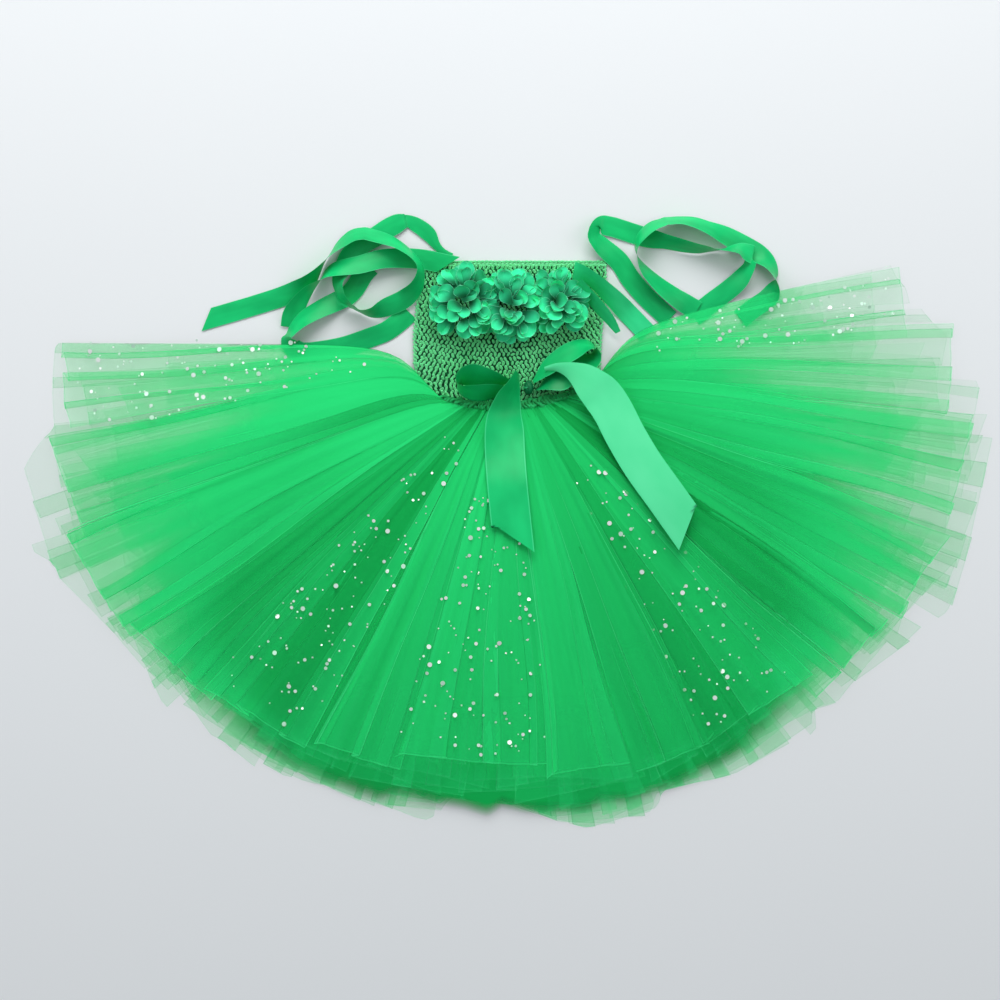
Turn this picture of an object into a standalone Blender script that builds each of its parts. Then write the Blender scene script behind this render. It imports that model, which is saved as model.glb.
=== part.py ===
"""A child's fairy costume dress, laid flat on its back.

A crochet tube top carries three chiffon flowers and a satin bow. Strips of tulle are
knotted into its lower edge and fan out as a tutu skirt. Narrow satin ribbons at the
four top corners are the shoulder straps, here loose in loops beside the top.

Lengths are in millimetres up to the moment a mesh is made, which is in metres. X runs
to the right as it is seen from above, Y towards the neck and Z up from the surface that
the dress lies on. The origin is the middle of the waist, on that surface.

The skirt is worked out in fan coordinates. A turn is the angle in degrees in which a
ray leaves the waist, and a reach is the distance along that ray.
"""

import math
import random
from typing import NamedTuple

import bmesh
import bpy
import numpy as np

MM = 0.001
SEAM = 0.3
UP = np.array((0.0, 0.0, 1.0))
SHARP_ANGLE = 40.0

# Crochet tube top
TOP_EDGE = 134.0
BACK_RISE = 3.0
WAIST_DROP = 1.2
WAIST_OVERHANG = 6.0
CROCHET_WALL = 2.7
TUBE_GAP = 0.4
TUBE_ACROSS = 8
TUBE_ROWS = 9
EDGE_ROUND = 0.28

# Waist seam, along which the tulle is knotted
WAIST_LEFT = (-78.0, 3.0)
WAIST_RIGHT = (92.0, 16.0)
WAIST_SAG = 21.0
KNOTS = 22
KNOT_RADIUS = 3.6
KNOT_SQUEEZE = 0.68
KNOT_INSET = 4.5
KNOTS_FIRST = 182.0
KNOTS_LAST = 371.0

# Fan of the skirt
FAN_FIRST = 172.0
FAN_LAST = 381.0
FAN_BULGE = 50.0
BULGE_TURN = 40.0
BULGE_RISE = 25.0
BULGE_REACH = 400.0
THIN_TURN = 35.0
CORNER_REACH = 9.0
TUBE_CLEAR = 1.6

# Tulle strips
TULLE_WALL = 1.6
LAYER_STEP = TULLE_WALL + 0.4
STRIP_CLEAR = 0.5
COLUMN_TURN = 1.2
PLEAT_COLUMNS = 3
SWELL_TURN = 15.0
STRIP_RAGGED = 4.0
HEM_CLEAR = 20.0
PLEAT_SPARE = 12.0
CREST_LEAST = 0.55
VALLEY_MOST = 0.25
THIN_PLEAT = 0.5

# Hidden layers of the skirt
CORE_FIRST = 184.8
CORE_LAST = 366.0
CORE_COLUMN = 2.4
LIP_WALL = 1.6
LIP_LOWS = (0.0, 3.6, 7.0)
LIP_SHORTER = (0.0, 9.0, 20.0)
LIP_RAGGED = 7.0
LIP_STEP = 2.0
TOP_LIP_WALL = 2.5
NOTCH_DEPTH = 26.0
NOTCH_SHARE = 0.45

# Satin ribbons
STRAP_WIDTH = 20.0
BOW_WIDTH = 40.0
SATIN_WALL = 1.0
RIBBON_STEP = 11.0

# Chiffon flowers
CHIFFON_WALL = 1.2
PETALS = 7
PETAL_COLUMNS = 3
PETAL_NOTCH = 0.12
PETAL_RINGS = (0.2, 0.64, 1.0)


class SkirtRow(NamedTuple):
    """Heights of the hidden layers and, on top of them, of the pleats and the slow swell."""

    reach: float
    full: float
    thin: float
    pleat: float
    swell: float


class HemRow(NamedTuple):
    """Where the longest layer ends at a turn."""

    turn: float
    reach: float


class StripRow(NamedTuple):
    """A strip that shows. Its layer is 0 for the lower ones and 1 for those on top."""

    name: str
    first: float
    last: float
    reach: float
    layer: int


class TubeRow(NamedTuple):
    """The crochet tube's left and right edges at a height above the origin."""

    y: float
    left: float
    right: float


class RibbonRow(NamedTuple):
    """A place on a ribbon's middle line. Its tilt is 0 or 180 where it lies flat, and 90
    where it stands on its edge."""

    x: float
    y: float
    z: float
    tilt: float
    width: float = STRAP_WIDTH


class Flower(NamedTuple):
    """A flower's middle and radius, and how far left and right its neighbours let it go."""

    x: float
    y: float
    radius: float
    low_x: float
    high_x: float


class FlowerLayer(NamedTuple):
    """A layer's share of the radius, lift of its middle, rise of its rim and ruffle."""

    name: str
    share: float
    lift: float
    rise: float
    ruffle: float


# The skirt's heights, which are thin at its two upper ends
SKIRT_ROWS = (
    SkirtRow(4.0, 9.0, 9.0, 0.2, 0.0),
    SkirtRow(30.0, 20.0, 11.0, 0.5, 0.8),
    SkirtRow(75.0, 33.0, 12.5, 1.2, 2.2),
    SkirtRow(150.0, 39.0, 11.0, 2.1, 3.2),
    SkirtRow(240.0, 33.0, 6.5, 2.8, 4.0),
    SkirtRow(330.0, 20.0, 1.2, 3.2, 4.0),
    SkirtRow(420.0, 6.5, 0.6, 3.5, 4.0),
)

# Outline of the hem, one row for each end of a strip
HEM_ROWS = (
    HemRow(170.0, 366.0),
    HemRow(172.8, 379.0),
    HemRow(184.8, 387.0),
    HemRow(190.0, 427.0),
    HemRow(199.2, 445.0),
    HemRow(201.6, 431.0),
    HemRow(211.0, 439.0),
    HemRow(223.2, 429.0),
    HemRow(232.8, 419.0),
    HemRow(238.0, 424.0),
    HemRow(246.2, 409.0),
    HemRow(252.8, 414.0),
    HemRow(260.2, 416.0),
    HemRow(262.0, 389.0),
    HemRow(271.2, 394.0),
    HemRow(279.2, 423.0),
    HemRow(287.0, 429.0),
    HemRow(289.0, 405.0),
    HemRow(294.5, 409.0),
    HemRow(302.0, 422.0),
    HemRow(308.8, 433.0),
    HemRow(311.0, 406.0),
    HemRow(319.0, 434.0),
    HemRow(328.8, 430.0),
    HemRow(333.5, 447.0),
    HemRow(338.8, 443.0),
    HemRow(347.0, 423.0),
    HemRow(352.0, 431.0),
    HemRow(358.8, 418.0),
    HemRow(364.2, 380.0),
    HemRow(370.2, 346.0),
    HemRow(379.0, 314.0),
    HemRow(385.0, 304.0),
)

# Tulle strips that show, from the left end of the skirt to the right
STRIP_ROWS = (
    StripRow("tulle_end_left", 170.4, 187.2, 372.0, 1),
    StripRow("tulle_front_01", 183.6, 201.6, 392.0, 0),
    StripRow("tulle_front_02", 196.8, 216.0, 404.0, 1),
    StripRow("tulle_front_03", 212.4, 229.2, 396.0, 0),
    StripRow("tulle_sequin_left", 224.4, 243.6, 384.0, 1),
    StripRow("tulle_front_04", 240.0, 256.8, 372.0, 0),
    StripRow("tulle_sequin_middle", 252.0, 277.2, 352.0, 1),
    StripRow("tulle_front_05", 273.6, 288.0, 366.0, 0),
    StripRow("tulle_front_06", 284.4, 300.0, 380.0, 1),
    StripRow("tulle_sequin_right", 296.4, 314.4, 372.0, 0),
    StripRow("tulle_front_07", 310.8, 328.8, 396.0, 1),
    StripRow("tulle_front_08", 325.2, 343.2, 404.0, 0),
    StripRow("tulle_front_09", 339.6, 357.6, 396.0, 1),
    StripRow("tulle_front_10", 354.0, 370.8, 366.0, 0),
    StripRow("tulle_end_right", 366.0, 379.2, 318.0, 1),
)

# Outline of the crochet tube, from below its waist to its neck edge
TUBE_OUTLINE = (
    TubeRow(-22.0, -60.0, 84.0),
    TubeRow(2.0, -78.0, 90.0),
    TubeRow(14.0, -89.0, 92.0),
    TubeRow(34.0, -94.5, 92.5),
    TubeRow(66.0, -94.5, 94.0),
    TubeRow(100.0, -91.0, 98.0),
    TubeRow(134.0, -86.0, 98.5),
)

# Strap ribbons, each cut into stretches at its twists and folds
STRAPS = {
    "strap_left_front": (
        RibbonRow(-60.0, 134.6, 7.1, 0.0),
        RibbonRow(-84.0, 139.6, 7.1, 0.0),
        RibbonRow(-104.0, 141.0, 7.1, 2.0),
        RibbonRow(-126.5, 140.0, 10.0, 10.0),
        RibbonRow(-149.0, 134.0, 12.0, 20.0),
        RibbonRow(-169.6, 130.5, 12.0, 35.0),
        RibbonRow(-181.6, 125.3, 12.0, 60.0),
        RibbonRow(-188.5, 118.5, 11.5, 85.0),
        RibbonRow(-200.6, 108.0, 11.0, 115.0),
        RibbonRow(-211.0, 94.3, 8.6, 142.0),
        RibbonRow(-217.0, 84.0, 4.2, 163.0),
        RibbonRow(-219.0, 72.0, 1.5, 176.0),
    ),
    "strap_left_front_loop_upper": (
        RibbonRow(-138.6, 133.0, 0.8, 0.0),
        RibbonRow(-145.5, 125.3, 0.8, 0.0),
        RibbonRow(-154.0, 111.6, 0.9, 0.0),
        RibbonRow(-162.7, 103.0, 1.2, 3.0),
        RibbonRow(-173.0, 97.8, 2.2, 8.0),
        RibbonRow(-190.0, 89.2, 7.0, 24.0),
        RibbonRow(-204.0, 80.6, 9.6, 34.0),
        RibbonRow(-214.3, 70.2, 12.4, 52.0),
        RibbonRow(-219.6, 62.8, 12.4, 64.0),
    ),
    "strap_left_front_loop_lower": (
        RibbonRow(-220.6, 59.4, 7.8, 44.0),
        RibbonRow(-218.0, 53.0, 4.4, 18.0),
        RibbonRow(-207.5, 47.0, 2.6, 8.0),
        RibbonRow(-190.2, 48.0, 1.6, 5.0),
        RibbonRow(-164.4, 52.9, 1.0, 0.0),
        RibbonRow(-138.6, 61.6, 2.4, 10.0),
        RibbonRow(-121.4, 68.5, 2.9, 12.0),
        RibbonRow(-106.0, 80.6, 1.0, 2.0),
        RibbonRow(-99.4, 87.2, 0.8, 0.0),
    ),
    "strap_left_back": (
        RibbonRow(-57.0, 142.8, 1.0, 0.0, 8.0),
        RibbonRow(-66.0, 148.3, 1.0, 0.0, 7.0),
        RibbonRow(-72.5, 155.0, 1.2, 0.0, 9.0),
        RibbonRow(-79.6, 165.5, 1.4, 0.0, 15.0),
        RibbonRow(-89.6, 173.6, 1.4, 0.0, 15.0),
        RibbonRow(-97.5, 177.3, 1.3, 0.0, 14.0),
        RibbonRow(-103.0, 179.0, 1.2, 0.0, 11.0),
    ),
    "strap_left_back_run": (
        RibbonRow(-103.0, 179.0, 2.7, 0.0, 14.0),
        RibbonRow(-111.0, 176.5, 2.7, 0.0, 19.0),
        RibbonRow(-121.4, 171.0, 2.7, 0.0),
        RibbonRow(-131.7, 164.1, 2.6, 0.0),
        RibbonRow(-145.5, 156.3, 2.6, 0.0),
        RibbonRow(-157.5, 146.0, 2.8, 4.0),
        RibbonRow(-163.7, 135.7, 4.5, 15.0),
        RibbonRow(-168.6, 123.0, 7.5, 35.0),
        RibbonRow(-169.6, 111.6, 12.5, 60.0),
        RibbonRow(-166.0, 100.2, 14.8, 66.0),
        RibbonRow(-158.0, 92.8, 13.4, 80.0),
    ),
    "strap_left_back_turn": (
        RibbonRow(-156.2, 91.6, 13.2, 80.0),
        RibbonRow(-148.9, 87.6, 11.2, 86.0),
        RibbonRow(-137.0, 86.0, 10.4, 65.0),
        RibbonRow(-121.4, 91.8, 8.5, 28.0),
        RibbonRow(-105.0, 99.5, 8.0, 22.0),
        RibbonRow(-93.5, 109.8, 13.8, 45.0),
        RibbonRow(-88.0, 121.9, 18.0, 66.0),
        RibbonRow(-88.0, 132.2, 18.8, 72.0),
        RibbonRow(-95.5, 142.6, 18.8, 70.0),
        RibbonRow(-109.3, 152.9, 17.5, 60.0),
        RibbonRow(-124.8, 160.0, 14.0, 48.0),
        RibbonRow(-141.2, 164.8, 13.0, 46.0),
    ),
    "strap_left_back_tail": (
        RibbonRow(-145.2, 165.3, 13.0, 46.0),
        RibbonRow(-155.8, 163.2, 12.5, 47.0),
        RibbonRow(-167.8, 154.6, 12.0, 58.0),
        RibbonRow(-176.5, 146.0, 11.5, 75.0),
        RibbonRow(-184.3, 136.7, 11.0, 88.0),
        RibbonRow(-191.2, 127.3, 10.5, 105.0),
        RibbonRow(-198.0, 119.5, 9.6, 125.0),
        RibbonRow(-208.5, 111.6, 5.6, 150.0),
        RibbonRow(-224.7, 104.0, 2.0, 173.0),
        RibbonRow(-250.5, 95.6, 0.8, 180.0),
        RibbonRow(-276.3, 87.9, 0.8, 180.0),
        RibbonRow(-303.9, 79.9, 0.8, 180.0),
    ),
    "strap_right_back": (
        RibbonRow(163.0, 80.0, 0.8, 0.0),
        RibbonRow(155.9, 86.6, 0.8, 0.0),
        RibbonRow(139.3, 102.4, 0.8, 0.0),
        RibbonRow(123.7, 120.6, 1.1, 0.0),
        RibbonRow(112.2, 138.0, 1.3, 0.0),
        RibbonRow(96.5, 152.0, 4.2, 18.0),
        RibbonRow(87.0, 161.5, 8.4, 44.0),
        RibbonRow(86.6, 170.5, 8.9, 52.0),
    ),
    "strap_right_back_run": (
        RibbonRow(97.6, 174.6, 2.0, 0.0),
        RibbonRow(108.0, 172.3, 2.0, 0.0),
        RibbonRow(123.6, 167.2, 1.8, 4.0),
        RibbonRow(138.3, 162.5, 3.6, 15.0),
        RibbonRow(155.9, 158.1, 8.5, 46.0),
        RibbonRow(173.5, 153.7, 9.6, 56.0),
        RibbonRow(191.1, 150.1, 11.0, 68.0),
        RibbonRow(205.8, 149.4, 12.0, 86.0),
        RibbonRow(217.5, 149.2, 16.2, 105.0),
        RibbonRow(229.7, 149.4, 16.0, 125.0),
        RibbonRow(237.0, 147.2, 13.5, 150.0),
        RibbonRow(244.6, 144.6, 11.0, 164.0),
    ),
    "strap_right_back_return": (
        RibbonRow(243.4, 137.2, 12.0, 58.0),
        RibbonRow(240.4, 129.7, 10.5, 50.0),
        RibbonRow(232.1, 118.5, 6.0, 20.0),
        RibbonRow(220.4, 108.3, 1.8, 4.0),
        RibbonRow(205.8, 97.5, 0.8, 0.0),
        RibbonRow(194.1, 88.2, 0.8, 0.0),
        RibbonRow(187.0, 82.5, 0.8, 0.0),
    ),
    "strap_right_back_loop": (
        RibbonRow(190.2, 88.6, 2.6, 0.0),
        RibbonRow(180.6, 94.4, 2.8, 2.0),
        RibbonRow(167.6, 102.4, 5.2, 20.0),
        RibbonRow(151.5, 114.6, 8.0, 38.0),
        RibbonRow(137.3, 128.8, 10.0, 57.0),
        RibbonRow(129.7, 142.0, 12.0, 82.0),
        RibbonRow(128.5, 152.3, 14.5, 100.0),
        RibbonRow(133.9, 162.5, 16.5, 118.0),
        RibbonRow(144.1, 171.8, 16.5, 124.0),
        RibbonRow(156.9, 177.2, 13.5, 120.0),
    ),
    "strap_right_back_arch": (
        RibbonRow(159.4, 177.7, 13.3, 120.0),
        RibbonRow(173.5, 178.7, 10.6, 120.0),
        RibbonRow(188.2, 176.5, 9.6, 130.0),
        RibbonRow(202.8, 170.9, 8.6, 138.0),
        RibbonRow(220.4, 163.4, 4.2, 163.0),
        RibbonRow(238.0, 154.4, 2.4, 172.0),
        RibbonRow(252.7, 145.6, 3.0, 168.0),
        RibbonRow(263.0, 134.7, 7.8, 140.0),
        RibbonRow(268.1, 121.5, 11.0, 107.0),
        RibbonRow(268.0, 112.5, 8.8, 60.0),
        RibbonRow(262.0, 101.5, 3.3, 11.0),
        RibbonRow(246.8, 90.6, 2.4, 8.0),
        RibbonRow(234.0, 80.6, 1.2, 2.0),
    ),
    "strap_right_front": (
        RibbonRow(66.0, 127.6, 8.6, 14.0),
        RibbonRow(77.7, 123.7, 13.6, 46.0),
        RibbonRow(92.3, 112.9, 13.4, 44.0),
        RibbonRow(107.0, 99.4, 9.6, 26.0),
        RibbonRow(120.7, 86.2, 2.4, 8.0),
        RibbonRow(134.0, 72.6, 1.0, 0.0),
    ),
    "strap_right_front_tail": (
        RibbonRow(70.5, 115.6, 16.6, 66.0),
        RibbonRow(79.6, 104.8, 16.6, 62.0),
        RibbonRow(90.3, 92.1, 15.8, 55.0, 19.0),
        RibbonRow(101.1, 79.6, 13.4, 46.0, 14.0),
        RibbonRow(110.6, 66.4, 8.0, 28.0, 6.0),
    ),
}

# How far a strap's end slants from square, in degrees: first end, last end
STRAP_SLANTS = {
    "strap_left_front": (45.0, 0.0),
    "strap_left_back": (0.0, -35.0),
    "strap_left_back_run": (7.0, 0.0),
    "strap_left_back_tail": (0.0, -38.0),
    "strap_right_back": (0.0, -24.0),
}

# Ribbons of the bow. The z of a tail counts from the top of the tulle strips below it
BOW_RIBBONS = {
    "bow_loop_left": (
        RibbonRow(13.2, 12.8, 11.8, 96.0, 6.0),
        RibbonRow(5.0, 15.8, 12.8, 104.0, 8.0),
        RibbonRow(-8.0, 19.8, 14.6, 122.0, 15.0),
        RibbonRow(-23.0, 24.4, 17.0, 138.0, 25.0),
        RibbonRow(-36.0, 25.6, 18.2, 138.0, 28.0),
        RibbonRow(-46.0, 22.4, 20.6, 120.0, 29.0),
        RibbonRow(-51.0, 15.2, 22.0, 94.0, 29.0),
        RibbonRow(-46.0, 8.0, 22.0, 72.0, 28.0),
        RibbonRow(-32.0, 4.4, 21.0, 58.0, 27.0),
        RibbonRow(-18.0, 4.6, 17.6, 60.0, 20.0),
        RibbonRow(-5.0, 6.6, 14.4, 74.0, 13.0),
        RibbonRow(13.2, 8.4, 11.8, 86.0, 6.0),
    ),
    "bow_loop_right_upper": (
        RibbonRow(24.4, 16.4, 15.4, 112.0, 8.0),
        RibbonRow(36.0, 32.0, 22.0, 122.0, 20.0),
        RibbonRow(52.0, 47.0, 23.5, 124.0, 27.0),
        RibbonRow(68.0, 54.6, 23.0, 118.0, 28.0),
        RibbonRow(81.0, 54.6, 22.0, 104.0, 27.0),
        RibbonRow(87.4, 47.6, 21.5, 92.0, 27.0),
        RibbonRow(84.0, 39.0, 21.0, 80.0, 26.0),
        RibbonRow(73.0, 33.8, 20.5, 76.0, 24.0),
        RibbonRow(62.8, 29.6, 19.4, 78.0, 21.0),
    ),
    "bow_loop_right_lower": (
        RibbonRow(29.2, 8.0, 13.4, 84.0, 6.0),
        RibbonRow(35.0, 2.4, 19.4, 86.0, 10.0),
        RibbonRow(47.0, 2.2, 21.6, 90.0, 13.0),
        RibbonRow(56.4, 8.6, 21.6, 94.0, 13.0),
        RibbonRow(57.6, 17.0, 20.6, 96.0, 12.0),
        RibbonRow(50.0, 22.6, 19.0, 96.0, 11.0),
        RibbonRow(40.0, 21.0, 16.6, 94.0, 9.0),
        RibbonRow(28.9, 13.0, 13.4, 92.0, 6.0),
    ),
    "bow_tail_left": (
        RibbonRow(9.6, 24.4, 12.4, 106.0, 20.0),
        RibbonRow(6.0, 13.0, 14.2, 120.0, 26.0),
        RibbonRow(0.6, 1.5, 12.0, 136.0, 32.0),
        RibbonRow(-2.8, -14.0, 8.8, 152.0, 37.0),
        RibbonRow(-3.5, -32.0, 4.0, 168.0, BOW_WIDTH),
        RibbonRow(-3.0, -56.0, 0.5, 178.0, BOW_WIDTH),
        RibbonRow(-1.0, -84.0, 0.0, 180.0, BOW_WIDTH),
        RibbonRow(1.5, -110.0, 0.0, 180.0, BOW_WIDTH),
        RibbonRow(4.5, -139.0, 0.0, 180.0, BOW_WIDTH),
    ),
    "bow_tail_right": (
        RibbonRow(51.0, 28.0, 13.8, 12.0, 14.0),
        RibbonRow(62.0, 26.5, 16.8, 8.0, 24.0),
        RibbonRow(78.0, 19.0, 11.8, 6.0, 37.0),
        RibbonRow(92.0, 4.5, 5.8, 3.0, BOW_WIDTH),
        RibbonRow(104.0, -14.0, 1.8, 0.0, BOW_WIDTH),
        RibbonRow(116.0, -38.0, 0.3, 0.0, BOW_WIDTH),
        RibbonRow(133.0, -67.0, -0.2, 0.0, BOW_WIDTH),
        RibbonRow(155.0, -98.0, -0.2, 0.0, BOW_WIDTH),
        RibbonRow(177.0, -129.0, -0.2, 0.0, BOW_WIDTH),
    ),
}
BOW_TAILS = ("bow_tail_left", "bow_tail_right")
BOW_SLANTS = {"bow_tail_left": (0.0, -40.0), "bow_tail_right": (0.0, -34.0)}
BOW_KNOT_CENTRE = (20.5, 10.5, 12.7)
BOW_KNOT_SIZE = (7.6, 7.0, 6.8)
BOW_KNOT_LEVELS = 6
BOW_KNOT_CORNERS = 10

FLOWERS = {
    "flower_left": Flower(-44.0, 97.0, 31.0, -74.0, -20.4),
    "flower_middle": Flower(3.5, 93.0, 29.0, -19.8, 27.2),
    "flower_right": Flower(51.0, 97.0, 27.0, 27.8, 74.4),
}
FLOWER_LAYERS = (
    FlowerLayer("outer", 1.0, 0.0, 9.0, 2.6),
    FlowerLayer("inner", 0.76, 2.0, 15.0, 2.8),
    FlowerLayer("heart", 0.5, 4.0, 18.0, 2.2),
)

GREENS = {
    "crochet": ((0.08, 0.52, 0.22, 1.0), 0.9),
    "tulle": ((0.02, 0.58, 0.12, 1.0), 0.8),
    "satin": ((0.04, 0.6, 0.2, 1.0), 0.35),
    "chiffon": ((0.04, 0.46, 0.2, 1.0), 0.7),
}


def clear_scene():
    """Empties the scene, the startup objects included."""
    for obj in list(bpy.data.objects):
        bpy.data.objects.remove(obj, do_unlink=True)


def finish_of(name, cloth):
    """A piece's own material, in the colour of its cloth."""
    colour, roughness = GREENS[cloth]
    material = bpy.data.materials.new(name)
    material.use_nodes = True
    shader = material.node_tree.nodes["Principled BSDF"]
    shader.inputs["Base Color"].default_value = colour
    shader.inputs["Roughness"].default_value = roughness
    shader.inputs["Metallic"].default_value = 0.0
    return material


def add_piece(name, cloth, points, faces):
    """Makes one closed solid from points in millimetres, with its faces outward."""
    shape = bmesh.new()
    verts = [shape.verts.new([value * MM for value in point]) for point in points]
    for face in faces:
        shape.faces.new([verts[index] for index in face])
    bmesh.ops.recalc_face_normals(shape, faces=shape.faces)
    bmesh.ops.triangulate(shape, faces=[face for face in shape.faces if len(face.verts) > 4])
    mesh = bpy.data.meshes.new(name)
    shape.to_mesh(mesh)
    shape.free()
    mesh.materials.append(finish_of(name, cloth))
    mesh.shade_smooth()
    mesh.set_sharp_from_angle(angle=math.radians(SHARP_ANGLE))
    piece = bpy.data.objects.new(name, mesh)
    bpy.context.scene.collection.objects.link(piece)
    return piece


def add_sheet(name, cloth, under, over):
    """A wall between two grids of points that match row by row and column by column."""
    rows, columns = under.shape[:2]
    points = np.concatenate([under.reshape(-1, 3), over.reshape(-1, 3)])
    lift = rows * columns
    faces = []
    for r in range(rows - 1):
        for c in range(columns - 1):
            corner = r * columns + c
            quad = (corner, corner + 1, corner + columns + 1, corner + columns)
            for face in ((quad[0], quad[1], quad[2]), (quad[0], quad[2], quad[3])):
                faces.append(face)
                faces.append(tuple(index + lift for index in reversed(face)))
    numbers = np.arange(lift).reshape(rows, columns)
    sides = (numbers[0, :-1], numbers[:-1, -1], numbers[-1, :0:-1], numbers[:0:-1, 0])
    border = [int(number) for side in sides for number in side]
    for here, there in zip(border, border[1:] + border[:1]):
        faces.append((there, here, here + lift, there + lift))
    return add_piece(name, cloth, points, faces)


def add_sweep(name, cloth, rings, caps):
    """A solid through rings of equal count. caps are the faces of one end, as ring indices."""
    count = len(rings[0])
    points = [point for ring in rings for point in ring]
    faces = []
    for r in range(len(rings) - 1):
        for c in range(count):
            here = r * count + c
            there = r * count + (c + 1) % count
            faces.append((here, there, there + count, here + count))
    last = (len(rings) - 1) * count
    for cap in caps:
        faces.append(tuple(reversed(cap)))
        faces.append(tuple(index + last for index in cap))
    return add_piece(name, cloth, points, faces)


def smooth_step(value):
    """Rises gently from 0 to 1 as the value does."""
    value = min(1.0, max(0.0, value))
    return value * value * (3.0 - 2.0 * value)


def table_value(rows, column, at):
    """A named column of a table, in straight lines between its rows."""
    return float(np.interp(at, [row[0] for row in rows], [getattr(row, column) for row in rows]))


def waist_point(turn):
    """Where the ray of a turn leaves the waist."""
    share = (turn - FAN_FIRST) / (FAN_LAST - FAN_FIRST)
    x = WAIST_LEFT[0] + share * (WAIST_RIGHT[0] - WAIST_LEFT[0])
    y = WAIST_LEFT[1] + share * (WAIST_RIGHT[1] - WAIST_LEFT[1])
    return x, y - WAIST_SAG * (1.0 - (2.0 * share - 1.0) ** 2)


def end_share(turn, width):
    """1 at either upper end of the fan, and 0 from so many degrees inside it."""
    first = smooth_step((FAN_FIRST + width - turn) / width)
    return first + smooth_step((turn - FAN_LAST + width) / width)


def fan_point(turn, reach):
    """The place in plan of a point of the skirt, whose upper ends bulge towards the neck."""
    x, y = waist_point(turn)
    fade = max(0.0, 1.0 - reach / BULGE_REACH)
    bulge = FAN_BULGE * end_share(turn, BULGE_TURN) * (1.0 - math.exp(-reach / BULGE_RISE)) * fade
    angle = math.radians(turn)
    return x + reach * math.cos(angle), y + reach * math.sin(angle) + bulge


def core_height(turn, reach):
    """Top of the skirt's hidden layers."""
    thin = min(1.0, end_share(turn, THIN_TURN))
    full = table_value(SKIRT_ROWS, "full", reach)
    return full + thin * (table_value(SKIRT_ROWS, "thin", reach) - full)


def make_pleats():
    """Height of each column's pleat, as a share of the pleats' depth."""
    dice = random.Random(11)
    first = round((FAN_FIRST - PLEAT_SPARE) / COLUMN_TURN)
    last = round((FAN_LAST + PLEAT_SPARE) / COLUMN_TURN)
    pleats = {}
    crest = 1.0
    for column in range(first, last):
        phase = column % PLEAT_COLUMNS
        if phase == 0:
            crest = dice.uniform(CREST_LEAST, 1.0)
        pleats[column] = crest if phase == 1 else crest * dice.uniform(0.0, VALLEY_MOST)
    return pleats


PLEATS = make_pleats()


def strip_height(turn, reach, layer):
    """Underside of a tulle strip. All strips share it, so those of two layers never cross."""
    thin = min(1.0, end_share(turn, THIN_TURN))
    pleat = table_value(SKIRT_ROWS, "pleat", reach) * (1.0 - THIN_PLEAT * thin)
    swell = table_value(SKIRT_ROWS, "swell", reach) * (1.0 - thin)
    wave = 0.5 + 0.5 * math.cos(2.0 * math.pi * turn / SWELL_TURN)
    share = PLEATS[round(turn / COLUMN_TURN)]
    low = core_height(turn, reach) + STRIP_CLEAR + layer * LAYER_STEP
    return low + 2.0 * pleat * share + swell * wave


def fan_coordinates(x, y):
    """Turn and reach of a place below the waist, away from the two upper ends."""
    low, high = FAN_FIRST + BULGE_TURN, FAN_LAST - BULGE_TURN
    for _ in range(30):
        turn = 0.5 * (low + high)
        start_x, start_y = waist_point(turn)
        angle = math.radians(turn)
        if math.cos(angle) * (y - start_y) > math.sin(angle) * (x - start_x):
            low = turn
        else:
            high = turn
    out = (x - start_x) * math.cos(angle) + (y - start_y) * math.sin(angle)
    return turn, max(0.0, out)


def skirt_top(x, y, half_width):
    """The highest that the tulle strips come within half a ribbon's width of a place."""
    tops = []
    for side in (-half_width, 0.0, half_width):
        turn, reach = fan_coordinates(x + side, y)
        pleat = 2.0 * table_value(SKIRT_ROWS, "pleat", reach)
        tops.append(core_height(turn, reach) + pleat + table_value(SKIRT_ROWS, "swell", reach))
    return max(tops) + STRIP_CLEAR + LAYER_STEP + TULLE_WALL


def first_reach(turn):
    """Where the tulle of a turn begins, further out at the tube's corners."""
    return SKIRT_ROWS[0].reach + CORNER_REACH * end_share(turn, BULGE_TURN)


def core_first_reach(turn):
    """Where the hidden layers of a turn begin, clear of the tube's corners."""
    reach = first_reach(turn)
    while near_tube(*fan_point(turn, reach)):
        reach += 1.0
    return reach


def strip_reaches(last_reach):
    """The reaches at which a strip has a row of points, down to its hem."""
    rows = [row.reach for row in SKIRT_ROWS if row.reach < last_reach - HEM_CLEAR]
    return rows + [last_reach]


def add_tulle_strips():
    """The strips that show, each from the waist to its own ragged hem."""
    dice = random.Random(5)
    for strip in STRIP_ROWS:
        columns = range(round(strip.first / COLUMN_TURN), round(strip.last / COLUMN_TURN) + 1)
        middle = 0.5 * (strip.first + strip.last)
        under = []
        for mean_reach in strip_reaches(strip.reach):
            line = []
            for column in columns:
                turn = column * COLUMN_TURN
                at = max(mean_reach, first_reach(turn))
                if mean_reach == strip.reach:
                    square = mean_reach / math.cos(math.radians(turn - middle))
                    at = square + dice.uniform(-STRIP_RAGGED, STRIP_RAGGED)
                x, y = fan_point(turn, at)
                line.append((x, y, strip_height(turn, at, strip.layer)))
            under.append(line)
        under = np.array(under)
        add_sheet(strip.name, "tulle", under, under + TULLE_WALL * UP)


def lip_reaches(turn, dice):
    """How far each lip of the hidden layers reaches, the lowest first."""
    longest = table_value(HEM_ROWS, "reach", turn)
    reaches = [longest]
    for shorter in LIP_SHORTER[1:]:
        ragged = longest - shorter + dice.uniform(-LIP_RAGGED, LIP_RAGGED)
        reaches.append(min(reaches[-1] - LIP_STEP, ragged))
    return reaches


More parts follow.
